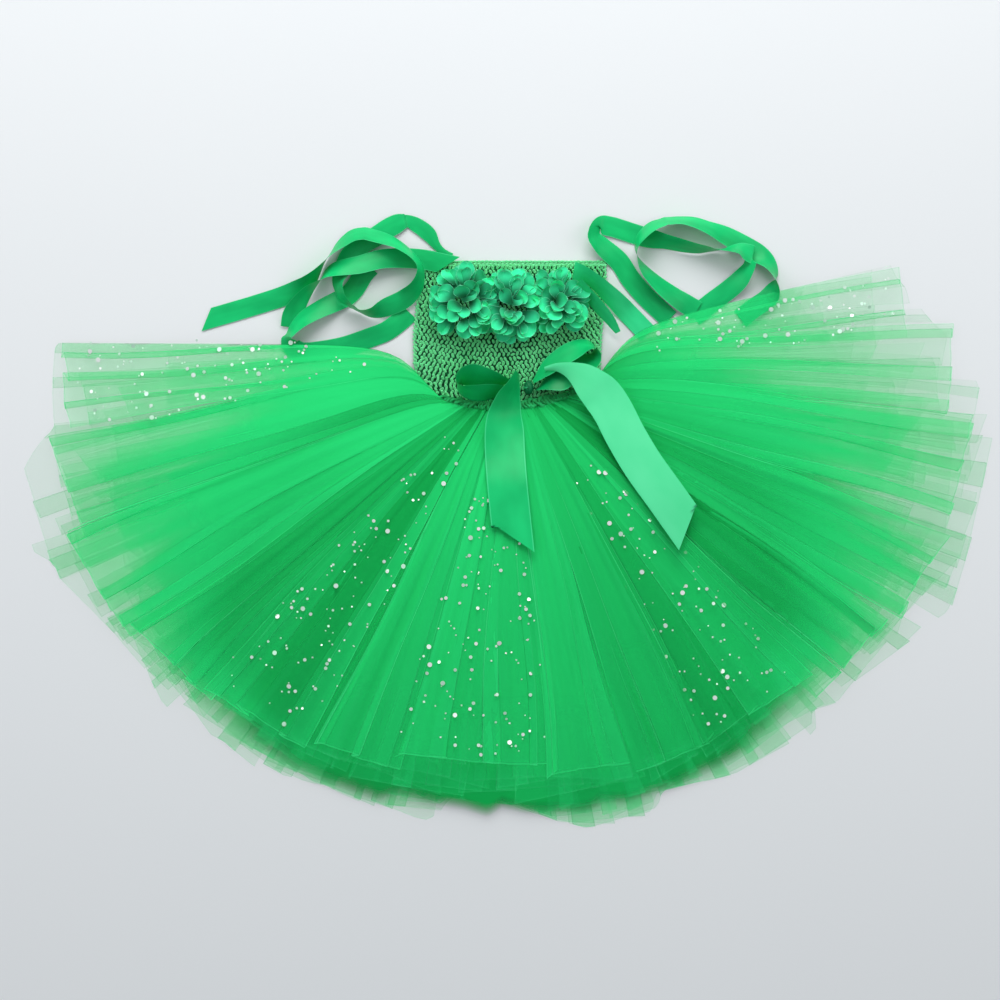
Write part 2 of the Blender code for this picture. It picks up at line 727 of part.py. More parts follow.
def core_profile(turn, dice):
    """One section of the hidden layers, from the waist along the floor, round the lips and back."""
    first = core_first_reach(turn)
    section = [(reach, 0.0) for reach in (first, SKIRT_ROWS[2].reach, SKIRT_ROWS[4].reach)]
    lips = lip_reaches(turn, dice)
    scale = core_height(turn, lips[-1]) / (LIP_LOWS[-1] + TOP_LIP_WALL)
    for number, (low, reach) in enumerate(zip(LIP_LOWS, lips)):
        high = low + LIP_WALL
        section.append((reach, low * scale))
        if number == len(lips) - 1:
            section.append((reach, core_height(turn, reach)))
        else:
            section.append((reach, high * scale))
            notch = min(reach, lips[number + 1]) - NOTCH_DEPTH
            middle = high + NOTCH_SHARE * (LIP_LOWS[number + 1] - high)
            section.append((notch, middle * scale))
    for row in reversed(SKIRT_ROWS[1:-1]):
        section.append((row.reach, core_height(turn, row.reach)))
    section.append((first, core_height(turn, first)))
    ring = []
    for reach, height in section:
        x, y = fan_point(turn, reach)
        ring.append((x, y, height))
    return ring


def add_skirt_core():
    """The hidden layers of tulle, as one rounded solid whose hem is parted into three lips."""
    dice = random.Random(3)
    count = round((CORE_LAST - CORE_FIRST) / CORE_COLUMN)
    rings = [core_profile(CORE_FIRST + column * CORE_COLUMN, dice) for column in range(count + 1)]
    last = len(rings[0]) - 1
    hem = list(range(2, last - 3))
    caps = [
        (0, 1, last - 2, last - 1, last),
        (1, 2, last - 4, last - 3, last - 2),
        tuple(hem),
    ]
    add_sweep("skirt_core", "tulle", rings, caps)


def waist_edge(x):
    """How far up the waist seam lies at a place across the dress."""
    share = (x - WAIST_LEFT[0]) / (WAIST_RIGHT[0] - WAIST_LEFT[0])
    share = min(1.0, max(0.0, share))
    y = WAIST_LEFT[1] + share * (WAIST_RIGHT[1] - WAIST_LEFT[1])
    return y - WAIST_SAG * (1.0 - (2.0 * share - 1.0) ** 2)


def near_tube(x, y):
    """Whether a place lies under the crochet tube or closer to it than TUBE_CLEAR."""
    left = table_value(TUBE_OUTLINE, "left", y) - TUBE_CLEAR
    right = table_value(TUBE_OUTLINE, "right", y) + TUBE_CLEAR
    return left < x < right and y > waist_edge(x) + WAIST_DROP - TUBE_CLEAR


def tube_ring(share):
    """One level of the crochet tube: outer and inner points of the flattened ring."""
    thick = 2.0 * CROCHET_WALL + TUBE_GAP
    outer, inner = [], []
    for side, top_y in enumerate((TOP_EDGE + BACK_RISE, TOP_EDGE)):
        for step in range(TUBE_ACROSS + 1):
            across = step / TUBE_ACROSS if side == 0 else 1.0 - step / TUBE_ACROSS
            low_left = WAIST_LEFT[0] - WAIST_OVERHANG
            bottom_y = waist_edge(low_left + across * (WAIST_RIGHT[0] - low_left)) + WAIST_DROP
            y = bottom_y + share * (top_y - bottom_y)
            left = table_value(TUBE_OUTLINE, "left", y)
            right = table_value(TUBE_OUTLINE, "right", y)
            height = float(side)
            if step in (0, TUBE_ACROSS):
                height = EDGE_ROUND + side * (1.0 - 2.0 * EDGE_ROUND)
            outer.append((left + across * (right - left), y, height * thick))
            inside = left + CROCHET_WALL + across * (right - left - 2.0 * CROCHET_WALL)
            inner.append((inside, y, CROCHET_WALL + side * TUBE_GAP))
    return outer, inner


def add_crochet_tube():
    """The crochet tube, flattened by its own weight, open at the neck and at the waist."""
    points = []
    for row in range(TUBE_ROWS):
        outer, inner = tube_ring(row / (TUBE_ROWS - 1))
        points += outer + inner
    count = 2 * (TUBE_ACROSS + 1)
    level = 2 * count
    top = (TUBE_ROWS - 1) * level
    faces = []
    for c in range(count):
        ahead = (c + 1) % count
        for r in range(0, top, level):
            here, there = r + c, r + ahead
            faces.append((here, there, there + level, here + level))
            faces.append((here + count + level, there + count + level, there + count, here + count))
        for r in (0, top):
            faces.append((r + c, r + c + count, r + ahead + count, r + ahead))
    add_piece("crochet_top", "crochet", points, faces)


def add_waist_knots():
    """The row of knots by which the strips hang from the crochet, as one knobbly roll."""
    low = 2.0 * CROCHET_WALL + TUBE_GAP + SEAM
    rings = []
    for step in range(2 * KNOTS + 1):
        turn = KNOTS_FIRST + 0.5 * step * (KNOTS_LAST - KNOTS_FIRST) / KNOTS
        x, y = waist_point(turn)
        radius = KNOT_RADIUS * (1.0 if step % 2 else KNOT_SQUEEZE)
        angle = math.radians(turn)
        out = np.array((math.cos(angle), math.sin(angle), 0.0))
        centre = np.array((x, y, low + radius)) - KNOT_INSET * out
        ring = []
        for corner in range(6):
            around = 2.0 * math.pi * corner / 6.0
            ring.append(centre + radius * (math.cos(around) * out + math.sin(around) * UP))
        rings.append(ring)
    add_sweep("tulle_knots", "tulle", rings, [(0, 1, 2, 3), (0, 3, 4, 5)])


def smooth_route(rows, step):
    """Rows of a table joined by one smooth curve, with a row about every step of length."""
    rows = np.array(rows)
    padded = np.concatenate([[2 * rows[0] - rows[1]], rows, [2 * rows[-1] - rows[-2]]])
    route = [rows[0]]
    for k in range(1, len(padded) - 2):
        before, start, end, after = padded[k - 1 : k + 3]
        count = max(1, round(float(np.linalg.norm((end - start)[:3])) / step))
        for part in range(1, count + 1):
            t = part / count
            route.append(
                0.5
                * (
                    2 * start
                    + (end - before) * t
                    + (2 * before - 5 * start + 4 * end - after) * t**2
                    + (3 * start - before - 3 * end + after) * t**3
                )
            )
    return np.array(route)


def add_ribbon(name, rows, slants):
    """A satin ribbon as a thin wall swept along its route. slants turn its two cut ends."""
    route = smooth_route(rows, RIBBON_STEP)
    places = route[:, :3]
    ahead = np.gradient(places, axis=0)
    under, over = [], []
    for k, place in enumerate(places):
        along = ahead[k] / np.linalg.norm(ahead[k])
        level = np.cross(UP, along)
        level /= np.linalg.norm(level)
        tilt = math.radians(route[k, 3])
        across = math.cos(tilt) * level + math.sin(tilt) * np.cross(along, level)
        slant = slants[0] if k == 0 else slants[1] if k == len(places) - 1 else 0.0
        half = 0.5 * route[k, 4] * (across + math.tan(math.radians(slant)) * along)
        thick = 0.5 * SATIN_WALL * np.cross(along, across)
        edges = np.array((place - half, place + half))
        under.append(edges - thick)
        over.append(edges + thick)
    add_sheet(name, "satin", np.array(under), np.array(over))


def add_straps():
    """The strap ribbons, loose beside the crochet top."""
    for name, rows in STRAPS.items():
        add_ribbon(name, rows, STRAP_SLANTS.get(name, (0.0, 0.0)))


def add_bow():
    """The satin bow: its loops, its two tails and the knot that holds them."""
    for name, rows in BOW_RIBBONS.items():
        if name in BOW_TAILS:
            lifts = [skirt_top(row.x, row.y, 0.5 * row.width) for row in rows]
            rows = [row._replace(z=row.z + lift) for row, lift in zip(rows, lifts)]
        add_ribbon(name, rows, BOW_SLANTS.get(name, (0.0, 0.0)))
    rings = []
    for level in range(1, BOW_KNOT_LEVELS):
        polar = math.pi * level / BOW_KNOT_LEVELS
        ring = []
        for corner in range(BOW_KNOT_CORNERS):
            around = 2.0 * math.pi * corner / BOW_KNOT_CORNERS
            side = math.sin(polar)
            out = np.array((math.cos(polar), side * math.cos(around), side * math.sin(around)))
            ring.append(np.array(BOW_KNOT_CENTRE) + out * np.array(BOW_KNOT_SIZE))
        rings.append(ring)
    add_sweep("bow_knot", "satin", rings, [tuple(range(BOW_KNOT_CORNERS))])


def petal_radius(flower, share, around):
    """Scalloped outline of one layer, squeezed where the next flower begins."""
    petal = abs(math.sin(0.5 * PETALS * around))
    radius = flower.radius * (1.0 - PETAL_NOTCH + PETAL_NOTCH * petal)
    cosine = math.cos(around)
    side = (flower.high_x if cosine > 0.0 else flower.low_x) - flower.x
    return share * min(radius, side / cosine if abs(cosine) > 1e-6 else radius)


def add_flowers():
    """Each flower is three cupped and ruffled layers of round petals, one inside the other."""
    count = PETALS * PETAL_COLUMNS
    base = 2.0 * CROCHET_WALL + TUBE_GAP + SEAM
    for name, flower in FLOWERS.items():
        for layer in FLOWER_LAYERS:
            rings = []
            for out in PETAL_RINGS:
                ring = []
                for column in range(count):
                    around = 2.0 * math.pi * (column + 0.5) / count
                    reach = out * petal_radius(flower, layer.share, around)
                    wave = layer.ruffle * (1.0 + math.cos(PETALS * around))
                    height = base + layer.lift + out**2 * (layer.rise * layer.share + wave)
                    x = flower.x + reach * math.cos(around)
                    ring.append((x, flower.y + reach * math.sin(around), height))
                rings.append(ring)
            add_petal_layer(f"{name}_{layer.name}", rings, count)


def add_petal_layer(name, rings, count):
    """A layer of petals as a wall of even height over its underside."""
    under = [point for ring in rings for point in ring]
    over = [(x, y, z + CHIFFON_WALL) for x, y, z in under]
    lift = len(under)
    faces = []
    for r in range(len(rings) - 1):
        for c in range(count):
            quad = (r * count + c, r * count + (c + 1) % count)
            quad += (quad[1] + count, quad[0] + count)
            for face in ((quad[0], quad[1], quad[2]), (quad[0], quad[2], quad[3])):
                faces.append(face)
                faces.append(tuple(index + lift for index in reversed(face)))
    faces.append(tuple(range(count)))
    faces.append(tuple(lift + c for c in reversed(range(count))))
    rim = (len(rings) - 1) * count
    for c in range(count):
        here, there = rim + c, rim + (c + 1) % count
        faces.append((here, there, there + lift, here + lift))
    add_piece(name, "chiffon", under + over, faces)


def main():
    """Builds the whole dress."""
    clear_scene()
    add_crochet_tube()
    add_waist_knots()
    add_skirt_core()
    add_tulle_strips()
    add_straps()
    add_bow()
    add_flowers()


main()
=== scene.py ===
"""Looks of a child's fairy costume dress, laid flat on its back and seen from above.

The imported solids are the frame. Every one of them is soft, so each is replaced by a piece
of cloth in its place: sheer tulle in many layers, satin ribbon, chiffon petals and crochet.
The skirt is worked out in fan coordinates, as the solids are: a turn is the angle in
degrees in which a ray leaves the waist, and a reach is the distance along that ray.
Tables and sizes are in millimetres, and meshes in metres.
"""

import logging
import math
import random
from dataclasses import dataclass
from enum import Enum
from typing import NamedTuple, Optional, Sequence, Union

import bpy
import numpy as np
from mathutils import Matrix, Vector


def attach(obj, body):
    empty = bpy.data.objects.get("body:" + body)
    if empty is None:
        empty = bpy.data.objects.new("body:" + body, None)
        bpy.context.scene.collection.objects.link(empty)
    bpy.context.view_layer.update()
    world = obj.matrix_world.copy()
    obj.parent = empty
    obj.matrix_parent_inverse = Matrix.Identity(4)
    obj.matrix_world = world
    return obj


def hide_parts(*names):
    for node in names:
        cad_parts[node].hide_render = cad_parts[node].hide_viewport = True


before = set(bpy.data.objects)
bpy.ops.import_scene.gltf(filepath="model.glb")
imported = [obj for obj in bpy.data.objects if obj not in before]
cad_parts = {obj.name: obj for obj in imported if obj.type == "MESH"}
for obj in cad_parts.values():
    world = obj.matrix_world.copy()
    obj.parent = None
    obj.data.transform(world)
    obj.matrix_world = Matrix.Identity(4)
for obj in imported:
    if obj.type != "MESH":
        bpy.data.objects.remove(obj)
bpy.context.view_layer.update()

LOG = logging.getLogger("dress")
MM = 0.001
BODY = "root"
UP = np.array((0.0, 0.0, 1.0))
ACROSS = np.array((1.0, 0.0, 0.0))
UV_NAME = "UVMap"

# The least and the most of a random phase
ANY_PHASE = (0.0, 6.28)


class Cloth(Enum):
    """The record's material slots."""

    CROCHET = "crochet"
    TULLE = "tulle"
    SATIN = "satin"
    CHIFFON = "chiffon"


class Hold(Enum):
    """How a sheet of cloth is held, in the words that the frame knows."""

    LAID = "laid"
    GATHERED = "gathered"
    FOLDED = "folded"


class Mark(Enum):
    """Values that a mesh carries point by point: how well it covers, its tone and painted shade, and
    its folds.
    """

    COVER = "cover"
    # Tone that differs at random, and painted shade of folds, gaps and packed layers
    TONE_AND_SHADE = "tone"
    CREASE = "crease"


class SkirtRow(NamedTuple):
    """Heights of the hidden layers and, on top of them, of the pleats and the slow swell."""

    reach: float
    full: float
    thin: float
    pleat: float
    swell: float


class HemRow(NamedTuple):
    """Where the longest layer ends at a turn."""

    turn: float
    reach: float


class CoverRow(NamedTuple):
    """Shares of the hem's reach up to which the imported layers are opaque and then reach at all,
    and over which the longest to the shortest of the sheer layers end, and how much of what
    is below one layer of net hides at the hem."""

    turn: float
    solid: float
    sheer: float
    spread: float
    ply: float


class StripRow(NamedTuple):
    """A strip that shows. Its layer is 0 for the lower ones and 1 for those on top."""

    name: str
    first: float
    last: float
    reach: float
    layer: int


class TubeRow(NamedTuple):
    """The crochet tube's left and right edges at a height above the origin."""

    y: float
    left: float
    right: float


class RibbonRow(NamedTuple):
    """A place on a ribbon's middle line, its tilt in degrees and its width."""

    x: float
    y: float
    z: float
    tilt: float
    width: float = 20.0


class FlowerPlace(NamedTuple):
    """A flower's middle and radius, and how far left and right its neighbours let it go."""

    x: float
    y: float
    radius: float
    low_x: float
    high_x: float


class SequinBand(NamedTuple):
    """Sequins strewn on a strip: how many, and between which reaches."""

    strip: str
    count: int
    near: float
    far: float


class Lamp(NamedTuple):
    """A soft light: its place, its size, its power in watts and where it points."""

    name: str
    place: tuple
    size: float
    power: float
    aim: tuple


def table(kind: type, *rows: tuple) -> tuple:
    """Names the columns of plain rows.

    Args:
        kind: The kind of row, which names the columns.
        rows: The rows.

    Returns:
        The named rows.
    """
    return tuple(kind(*row) for row in rows)


# Opaque inside this share of the hem's reach, and sheer past the next one
COVER_ROWS = table(
    CoverRow,
    (172, 0.04, 0.34, 0.5, 0.22),
    (180, 0.12, 0.48, 0.46, 0.21),
    (190, 0.3, 0.64, 0.38, 0.22),
    (203, 0.56, 0.87, 0.27, 0.29),
    (222, 0.86, 0.98, 0.16, 0.4),
    (242, 0.945, 0.995, 0.1, 0.44),
    (270, 0.965, 1, 0.1, 0.45),
    (300, 0.945, 0.99, 0.11, 0.43),
    (320, 0.8, 0.94, 0.17, 0.36),
    (338, 0.58, 0.85, 0.24, 0.28),
    (355, 0.3, 0.64, 0.36, 0.19),
    (368, 0.1, 0.44, 0.44, 0.14),
    (380, 0.04, 0.28, 0.5, 0.12),
)

FLOWERS = {
    "left": FlowerPlace(-44.0, 97.0, 31.0, -74.0, -20.4),
    "middle": FlowerPlace(3.5, 93.0, 29.0, -19.8, 27.2),
    "right": FlowerPlace(51.0, 97.0, 27.0, 27.8, 74.4),
}

SEQUINS = table(
    SequinBand,
    ("tulle_end_left", 110, 60, 360),
    ("tulle_sequin_left", 130, 24, 375),
    ("tulle_sequin_middle", 150, 60, 345),
    ("tulle_sequin_right", 110, 70, 365),
    ("tulle_end_right", 90, 60, 310),
)

LAMPS = table(
    Lamp,
    ("neck_side", (0, 2, 1.45), 1.8, 50, (0, 0.1, 0)),
    ("left", (-2.2, 0.6, 1.8), 1.8, 15, (0, 0, 0)),
    ("right", (2.2, 0.5, 1.8), 1.8, 13, (0, 0, 0)),
)

# The skirt's heights, thin at its two upper ends
SKIRT_ROWS = table(
    SkirtRow,
    (4, 9, 9, 0.2, 0),
    (30, 20, 11, 0.5, 0.8),
    (75, 33, 12.5, 1.2, 2.2),
    (150, 39, 11, 2.1, 3.2),
    (240, 33, 6.5, 2.8, 4),
    (330, 20, 1.2, 3.2, 4),
    (420, 6.5, 0.6, 3.5, 4),
)

# Outline of the hem, one row for each end of a strip
HEM_ROWS = table(
    HemRow,
    (170, 366), (172.8, 379), (184.8, 387), (190, 427), (199.2, 445), (201.6, 431), (211, 439),
    (223.2, 429), (232.8, 419), (238, 424), (246.2, 409), (252.8, 414), (260.2, 416), (262, 389),
    (271.2, 394), (279.2, 423), (287, 429), (289, 405), (294.5, 409), (302, 422), (308.8, 433),
    (311, 406), (319, 434), (328.8, 430), (333.5, 447), (338.8, 443), (347, 423), (352, 431),
    (358.8, 418), (364.2, 380), (370.2, 346), (379, 314), (385, 304),
)

# Tulle strips that show, from the left end of the skirt to the right
STRIP_ROWS = table(
    StripRow,
    ("tulle_end_left", 170.4, 187.2, 372, 1),
    ("tulle_front_01", 183.6, 201.6, 392, 0),
    ("tulle_front_02", 196.8, 216, 404, 1),
    ("tulle_front_03", 212.4, 229.2, 396, 0),
    ("tulle_sequin_left", 224.4, 243.6, 384, 1),
    ("tulle_front_04", 240, 256.8, 372, 0),
    ("tulle_sequin_middle", 252, 277.2, 352, 1),
    ("tulle_front_05", 273.6, 288, 366, 0),
    ("tulle_front_06", 284.4, 300, 380, 1),
    ("tulle_sequin_right", 296.4, 314.4, 372, 0),
    ("tulle_front_07", 310.8, 328.8, 396, 1),
    ("tulle_front_08", 325.2, 343.2, 404, 0),
    ("tulle_front_09", 339.6, 357.6, 396, 1),
    ("tulle_front_10", 354, 370.8, 366, 0),
    ("tulle_end_right", 366, 379.2, 318, 1),
)

# Outline of the crochet tube, from below its waist to its neck edge
TUBE_OUTLINE = table(
    TubeRow,
    (-22, -60, 84), (2, -78, 90), (14, -89, 92), (34, -94.5, 92.5), (66, -94.5, 94),
    (100, -91, 98), (134, -86, 98.5),
)

# Strap ribbons, each in stretches that end at its twists and folds
STRAPS = {
    "strap_left_front": table(
        RibbonRow,
        (-60, 134.6, 7.1, 0), (-84, 139.6, 7.1, 0), (-104, 141, 7.1, 2), (-126.5, 140, 10, 10),
        (-149, 134, 12, 20), (-169.6, 130.5, 12, 35), (-181.6, 125.3, 12, 60),
        (-188.5, 118.5, 11.5, 85), (-200.6, 108, 11, 115), (-211, 94.3, 8.6, 142),
        (-217, 84, 4.2, 163), (-219, 72, 1.5, 176),
    ),
    "strap_left_front_loop_upper": table(
        RibbonRow,
        (-138.6, 133, 0.8, 0), (-145.5, 125.3, 0.8, 0), (-154, 111.6, 0.9, 0),
        (-162.7, 103, 1.2, 3), (-173, 97.8, 2.2, 8), (-190, 89.2, 7, 24), (-204, 80.6, 9.6, 34),
        (-214.3, 70.2, 12.4, 52), (-219.6, 62.8, 12.4, 64),
    ),
    "strap_left_front_loop_lower": table(
        RibbonRow,
        (-220.6, 59.4, 7.8, 44), (-218, 53, 4.4, 18), (-207.5, 47, 2.6, 8), (-190.2, 48, 1.6, 5),
        (-164.4, 52.9, 1, 0), (-138.6, 61.6, 2.4, 10), (-121.4, 68.5, 2.9, 12),
        (-106, 80.6, 1, 2), (-99.4, 87.2, 0.8, 0),
    ),
    "strap_left_back": table(
        RibbonRow,
        (-57, 142.8, 1, 0, 8), (-66, 148.3, 1, 0, 7), (-72.5, 155, 1.2, 0, 9),
        (-79.6, 165.5, 1.4, 0, 15), (-89.6, 173.6, 1.4, 0, 15), (-97.5, 177.3, 1.3, 0, 14),
        (-103, 179, 1.2, 0, 11),
    ),
    "strap_left_back_run": table(
        RibbonRow,
        (-103, 179, 2.7, 0, 14), (-111, 176.5, 2.7, 0, 19), (-121.4, 171, 2.7, 0),
        (-131.7, 164.1, 2.6, 0), (-145.5, 156.3, 2.6, 0), (-157.5, 146, 2.8, 4),
        (-163.7, 135.7, 4.5, 15), (-168.6, 123, 7.5, 35), (-169.6, 111.6, 12.5, 60),
        (-166, 100.2, 14.8, 66), (-158, 92.8, 13.4, 80),
    ),
    "strap_left_back_turn": table(
        RibbonRow,
        (-156.2, 91.6, 13.2, 80), (-148.9, 87.6, 11.2, 86), (-137, 86, 10.4, 65),
        (-121.4, 91.8, 8.5, 28), (-105, 99.5, 8, 22), (-93.5, 109.8, 13.8, 45),
        (-88, 121.9, 18, 66), (-88, 132.2, 18.8, 72), (-95.5, 142.6, 18.8, 70),
        (-109.3, 152.9, 17.5, 60), (-124.8, 160, 14, 48), (-141.2, 164.8, 13, 46),
    ),
    "strap_left_back_tail": table(
        RibbonRow,
        (-145.2, 165.3, 13, 46), (-155.8, 163.2, 12.5, 47), (-167.8, 154.6, 12, 58),
        (-176.5, 146, 11.5, 75), (-184.3, 136.7, 11, 88), (-191.2, 127.3, 10.5, 105),
        (-198, 119.5, 9.6, 125), (-208.5, 111.6, 5.6, 150), (-224.7, 104, 2, 173),
        (-250.5, 95.6, 0.8, 180), (-276.3, 87.9, 0.8, 180), (-303.9, 79.9, 0.8, 180),
    ),
    "strap_right_back": table(
        RibbonRow,
        (163, 80, 0.8, 0), (155.9, 86.6, 0.8, 0), (139.3, 102.4, 0.8, 0), (123.7, 120.6, 1.1, 0),
        (112.2, 138, 1.3, 0), (96.5, 152, 4.2, 18), (87, 161.5, 8.4, 44), (86.6, 170.5, 8.9, 52),
    ),
    "strap_right_back_run": table(
        RibbonRow,
        (97.6, 174.6, 2, 0), (108, 172.3, 2, 0), (123.6, 167.2, 1.8, 4), (138.3, 162.5, 3.6, 15),
        (155.9, 158.1, 8.5, 46), (173.5, 153.7, 9.6, 56), (191.1, 150.1, 11, 68),
        (205.8, 149.4, 12, 86), (217.5, 149.2, 16.2, 105), (229.7, 149.4, 16, 125),
        (237, 147.2, 13.5, 150), (244.6, 144.6, 11, 164),
    ),
    "strap_right_back_return": table(
        RibbonRow,
        (243.4, 137.2, 12, 58), (240.4, 129.7, 10.5, 50), (232.1, 118.5, 6, 20),
        (220.4, 108.3, 1.8, 4), (205.8, 97.5, 0.8, 0), (194.1, 88.2, 0.8, 0), (187, 82.5, 0.8, 0),
    ),
    "strap_right_back_loop": table(
        RibbonRow,
        (190.2, 88.6, 2.6, 0), (180.6, 94.4, 2.8, 2), (167.6, 102.4, 5.2, 20),
        (151.5, 114.6, 8, 38), (137.3, 128.8, 10, 57), (129.7, 142, 12, 82),
        (128.5, 152.3, 14.5, 100), (133.9, 162.5, 16.5, 118), (144.1, 171.8, 16.5, 124),
        (156.9, 177.2, 13.5, 120),
    ),
    "strap_right_back_arch": table(
        RibbonRow,
        (159.4, 177.7, 13.3, 120), (173.5, 178.7, 10.6, 120), (188.2, 176.5, 9.6, 130),
        (202.8, 170.9, 8.6, 138), (220.4, 163.4, 4.2, 163), (238, 154.4, 2.4, 172),
        (252.7, 145.6, 3, 168), (263, 134.7, 7.8, 140), (268.1, 121.5, 11, 107),
        (268, 112.5, 8.8, 60), (262, 101.5, 3.3, 11), (246.8, 90.6, 2.4, 8), (234, 80.6, 1.2, 2),
    ),
    "strap_right_front": table(
        RibbonRow,
        (66, 127.6, 8.6, 14), (77.7, 123.7, 13.6, 46), (92.3, 112.9, 13.4, 44),
        (107, 99.4, 9.6, 26), (120.7, 86.2, 2.4, 8), (134, 72.6, 1, 0), (141, 65.4, 0.9, 0),
    ),
    "strap_right_front_tail": table(
        RibbonRow,
        (70.5, 115.6, 16.6, 66), (79.6, 104.8, 16.6, 62), (90.3, 92.1, 15.8, 55, 19),
        (101.1, 79.6, 13.4, 46, 14), (110.6, 66.4, 8, 28, 6),
    ),
}

# Ribbons of the bow. The z of a tail counts from the top of the tulle strips below it
BOW_RIBBONS = {
    "bow_loop_left": table(
        RibbonRow,
        (13.2, 12.8, 11.8, 96, 6), (5, 15.8, 12.8, 104, 8), (-8, 17.8, 14.6, 128, 18),
        (-23, 20.8, 17, 138, 25), (-36, 23.2, 18.2, 138, 28), (-46, 21.2, 20.6, 120, 29),
        (-51, 15.2, 22, 94, 29), (-46, 8, 22, 72, 28), (-32, 4.8, 21, 54, 27),
        (-18, 6, 17.6, 52, 24), (-5, 8, 14.4, 62, 17), (13.2, 8.4, 11.8, 86, 6),
    ),
    "bow_loop_right_upper": table(
        RibbonRow,
        (25.4, 16.4, 15.4, 116, 8), (38, 29, 19, 144, 18), (52, 40, 21, 150, 22),
        (65, 47.5, 22.2, 146, 23), (77, 52.5, 22.4, 126, 24), (86, 51, 22, 100, 25),
        (88.6, 44.5, 21.2, 72, 26), (85, 37.5, 20, 54, 27), (76, 33.5, 17.8, 38, 28),
        (64, 31, 17, 35, 26),
    ),
    "bow_loop_right_lower": table(
        RibbonRow,
        (28.6, 8.6, 13.4, 100, 7), (36, 13, 16.5, 130, 14), (45, 16.6, 18.5, 147, 22),
        (55, 18.4, 19, 152, 24), (63.5, 22, 20, 130, 20), (62.5, 27.5, 20, 100, 14),
        (52, 30, 19.5, 94, 11), (40, 28, 17.5, 92, 9), (28.6, 13.4, 13.4, 92, 6),
    ),
    "bow_tail_left": table(
        RibbonRow,
        (9.6, 24.4, 12.4, 106, 20), (6, 13, 14.2, 120, 26), (0.6, 1.5, 12, 136, 32),
        (-2.8, -14, 8.8, 152, 37), (-3.5, -32, 4, 168, 40), (-3, -56, 0.5, 178, 40),
        (-1, -84, 0, 180, 40), (1.5, -110, 0, 180, 40), (4.5, -139, 0, 180, 40),
    ),
    "bow_tail_right": table(
        RibbonRow,
        (36.5, 28.8, 11.5, 26, 4), (48, 30.2, 14.2, 20, 8.5), (60.5, 27.4, 16.6, 14, 16),
        (73, 20.6, 13.4, 9, 28), (84.5, 10.6, 8.8, 6, 36.5), (94, 1, 4.8, 3, 40),
        (104, -14, 1.8, 0, 40), (116, -38, 0.3, 0, 40), (133, -67, -0.2, 0, 40),
        (155, -98, -0.2, 0, 40), (177, -129, -0.2, 0, 40),
    ),
}

BOW_TAILS = ("bow_tail_left", "bow_tail_right")

RIBBON_ROWS = STRAPS | BOW_RIBBONS

# How far the ends of a stretch slant from square, in degrees: first end, last end
SLANTS = {
    "strap_left_front": (45.0, 0.0),
    "strap_left_back": (0.0, -35.0),
    "strap_left_back_run": (7.0, 0.0),
    "strap_left_back_tail": (0.0, -38.0),
    "strap_right_back": (0.0, -24.0),
    "bow_tail_left": (0.0, -40.0),
    "bow_tail_right": (0.0, -34.0),
}


def smooth_step(value: np.ndarray) -> np.ndarray:
    """Rises gently from 0 to 1 as the value does."""
    value = np.clip(value, 0.0, 1.0)
    return value * value * (3.0 - 2.0 * value)


def table_value(rows: Sequence, column: str, at: np.ndarray) -> np.ndarray:
    """Reads a named column of a table, in straight lines between its rows.

    Args:
        rows: The table, whose rows start with the value they stand at.
        column: The column's name.
        at: Where to read it.

    Returns:
        The column's values there.
    """
    return np.interp(at, [row[0] for row in rows], [getattr(row, column) for row in rows])


class Value:
    """A shader socket, with arithmetic that adds Math nodes."""

    def __init__(self, shader: "Shader", socket: bpy.types.NodeSocket) -> None:
        """Wraps a socket of a shader."""
        self.shader = shader
        self.socket = socket

    def math(self, operation: str, *values: Union["Value", float]) -> "Value":
        """Adds a Math node.

        Args:
            operation: The node's operation.
            values: What goes into its sockets, in order.

        Returns:
            The node's result.
        """
        sockets = dict(enumerate(values))
        return self.shader.node("ShaderNodeMath", {"operation": operation}, sockets)

    def __add__(self, other: Union["Value", float]) -> "Value":
        """This value plus another."""
        return self.math("ADD", self, other)

    def __radd__(self, other: float) -> "Value":
        """A number plus this value."""
        return self.math("ADD", other, self)

    def __sub__(self, other: Union["Value", float]) -> "Value":
        """This value less another."""
        return self.math("SUBTRACT", self, other)

    def __rsub__(self, other: float) -> "Value":
        """A number less this value."""
        return self.math("SUBTRACT", other, self)

    def __mul__(self, other: Union["Value", float]) -> "Value":
        """This value times another."""
        return self.math("MULTIPLY", self, other)

    def __rmul__(self, other: float) -> "Value":
        """A number times this value."""
        return self.math("MULTIPLY", other, self)

    def sine(self) -> "Value":
        """The sine of this value."""
        return self.math("SINE", self)

    def away_from(self, middle: float) -> "Value":
        """How far this value is from a number."""
        return self.math("ABSOLUTE", self - middle)

    def fit(self, low: float, high: float, start: float = 0.0, end: float = 1.0) -> "Value":
        """Stretches a range of this value over another, smoothly and clamped.

        Args:
            low: Where the range begins.
            high: Where it ends.
            start: The result at its beginning.
            end: The result at its end.

        Returns:
            The stretched value.
        """
        sockets = {"Value": self, "From Min": low, "From Max": high, "To Min": start, "To Max": end}
        settings = {"interpolation_type": "SMOOTHSTEP"}
        return self.shader.node("ShaderNodeMapRange", settings, sockets)


Feed = Union[Value, float, tuple]


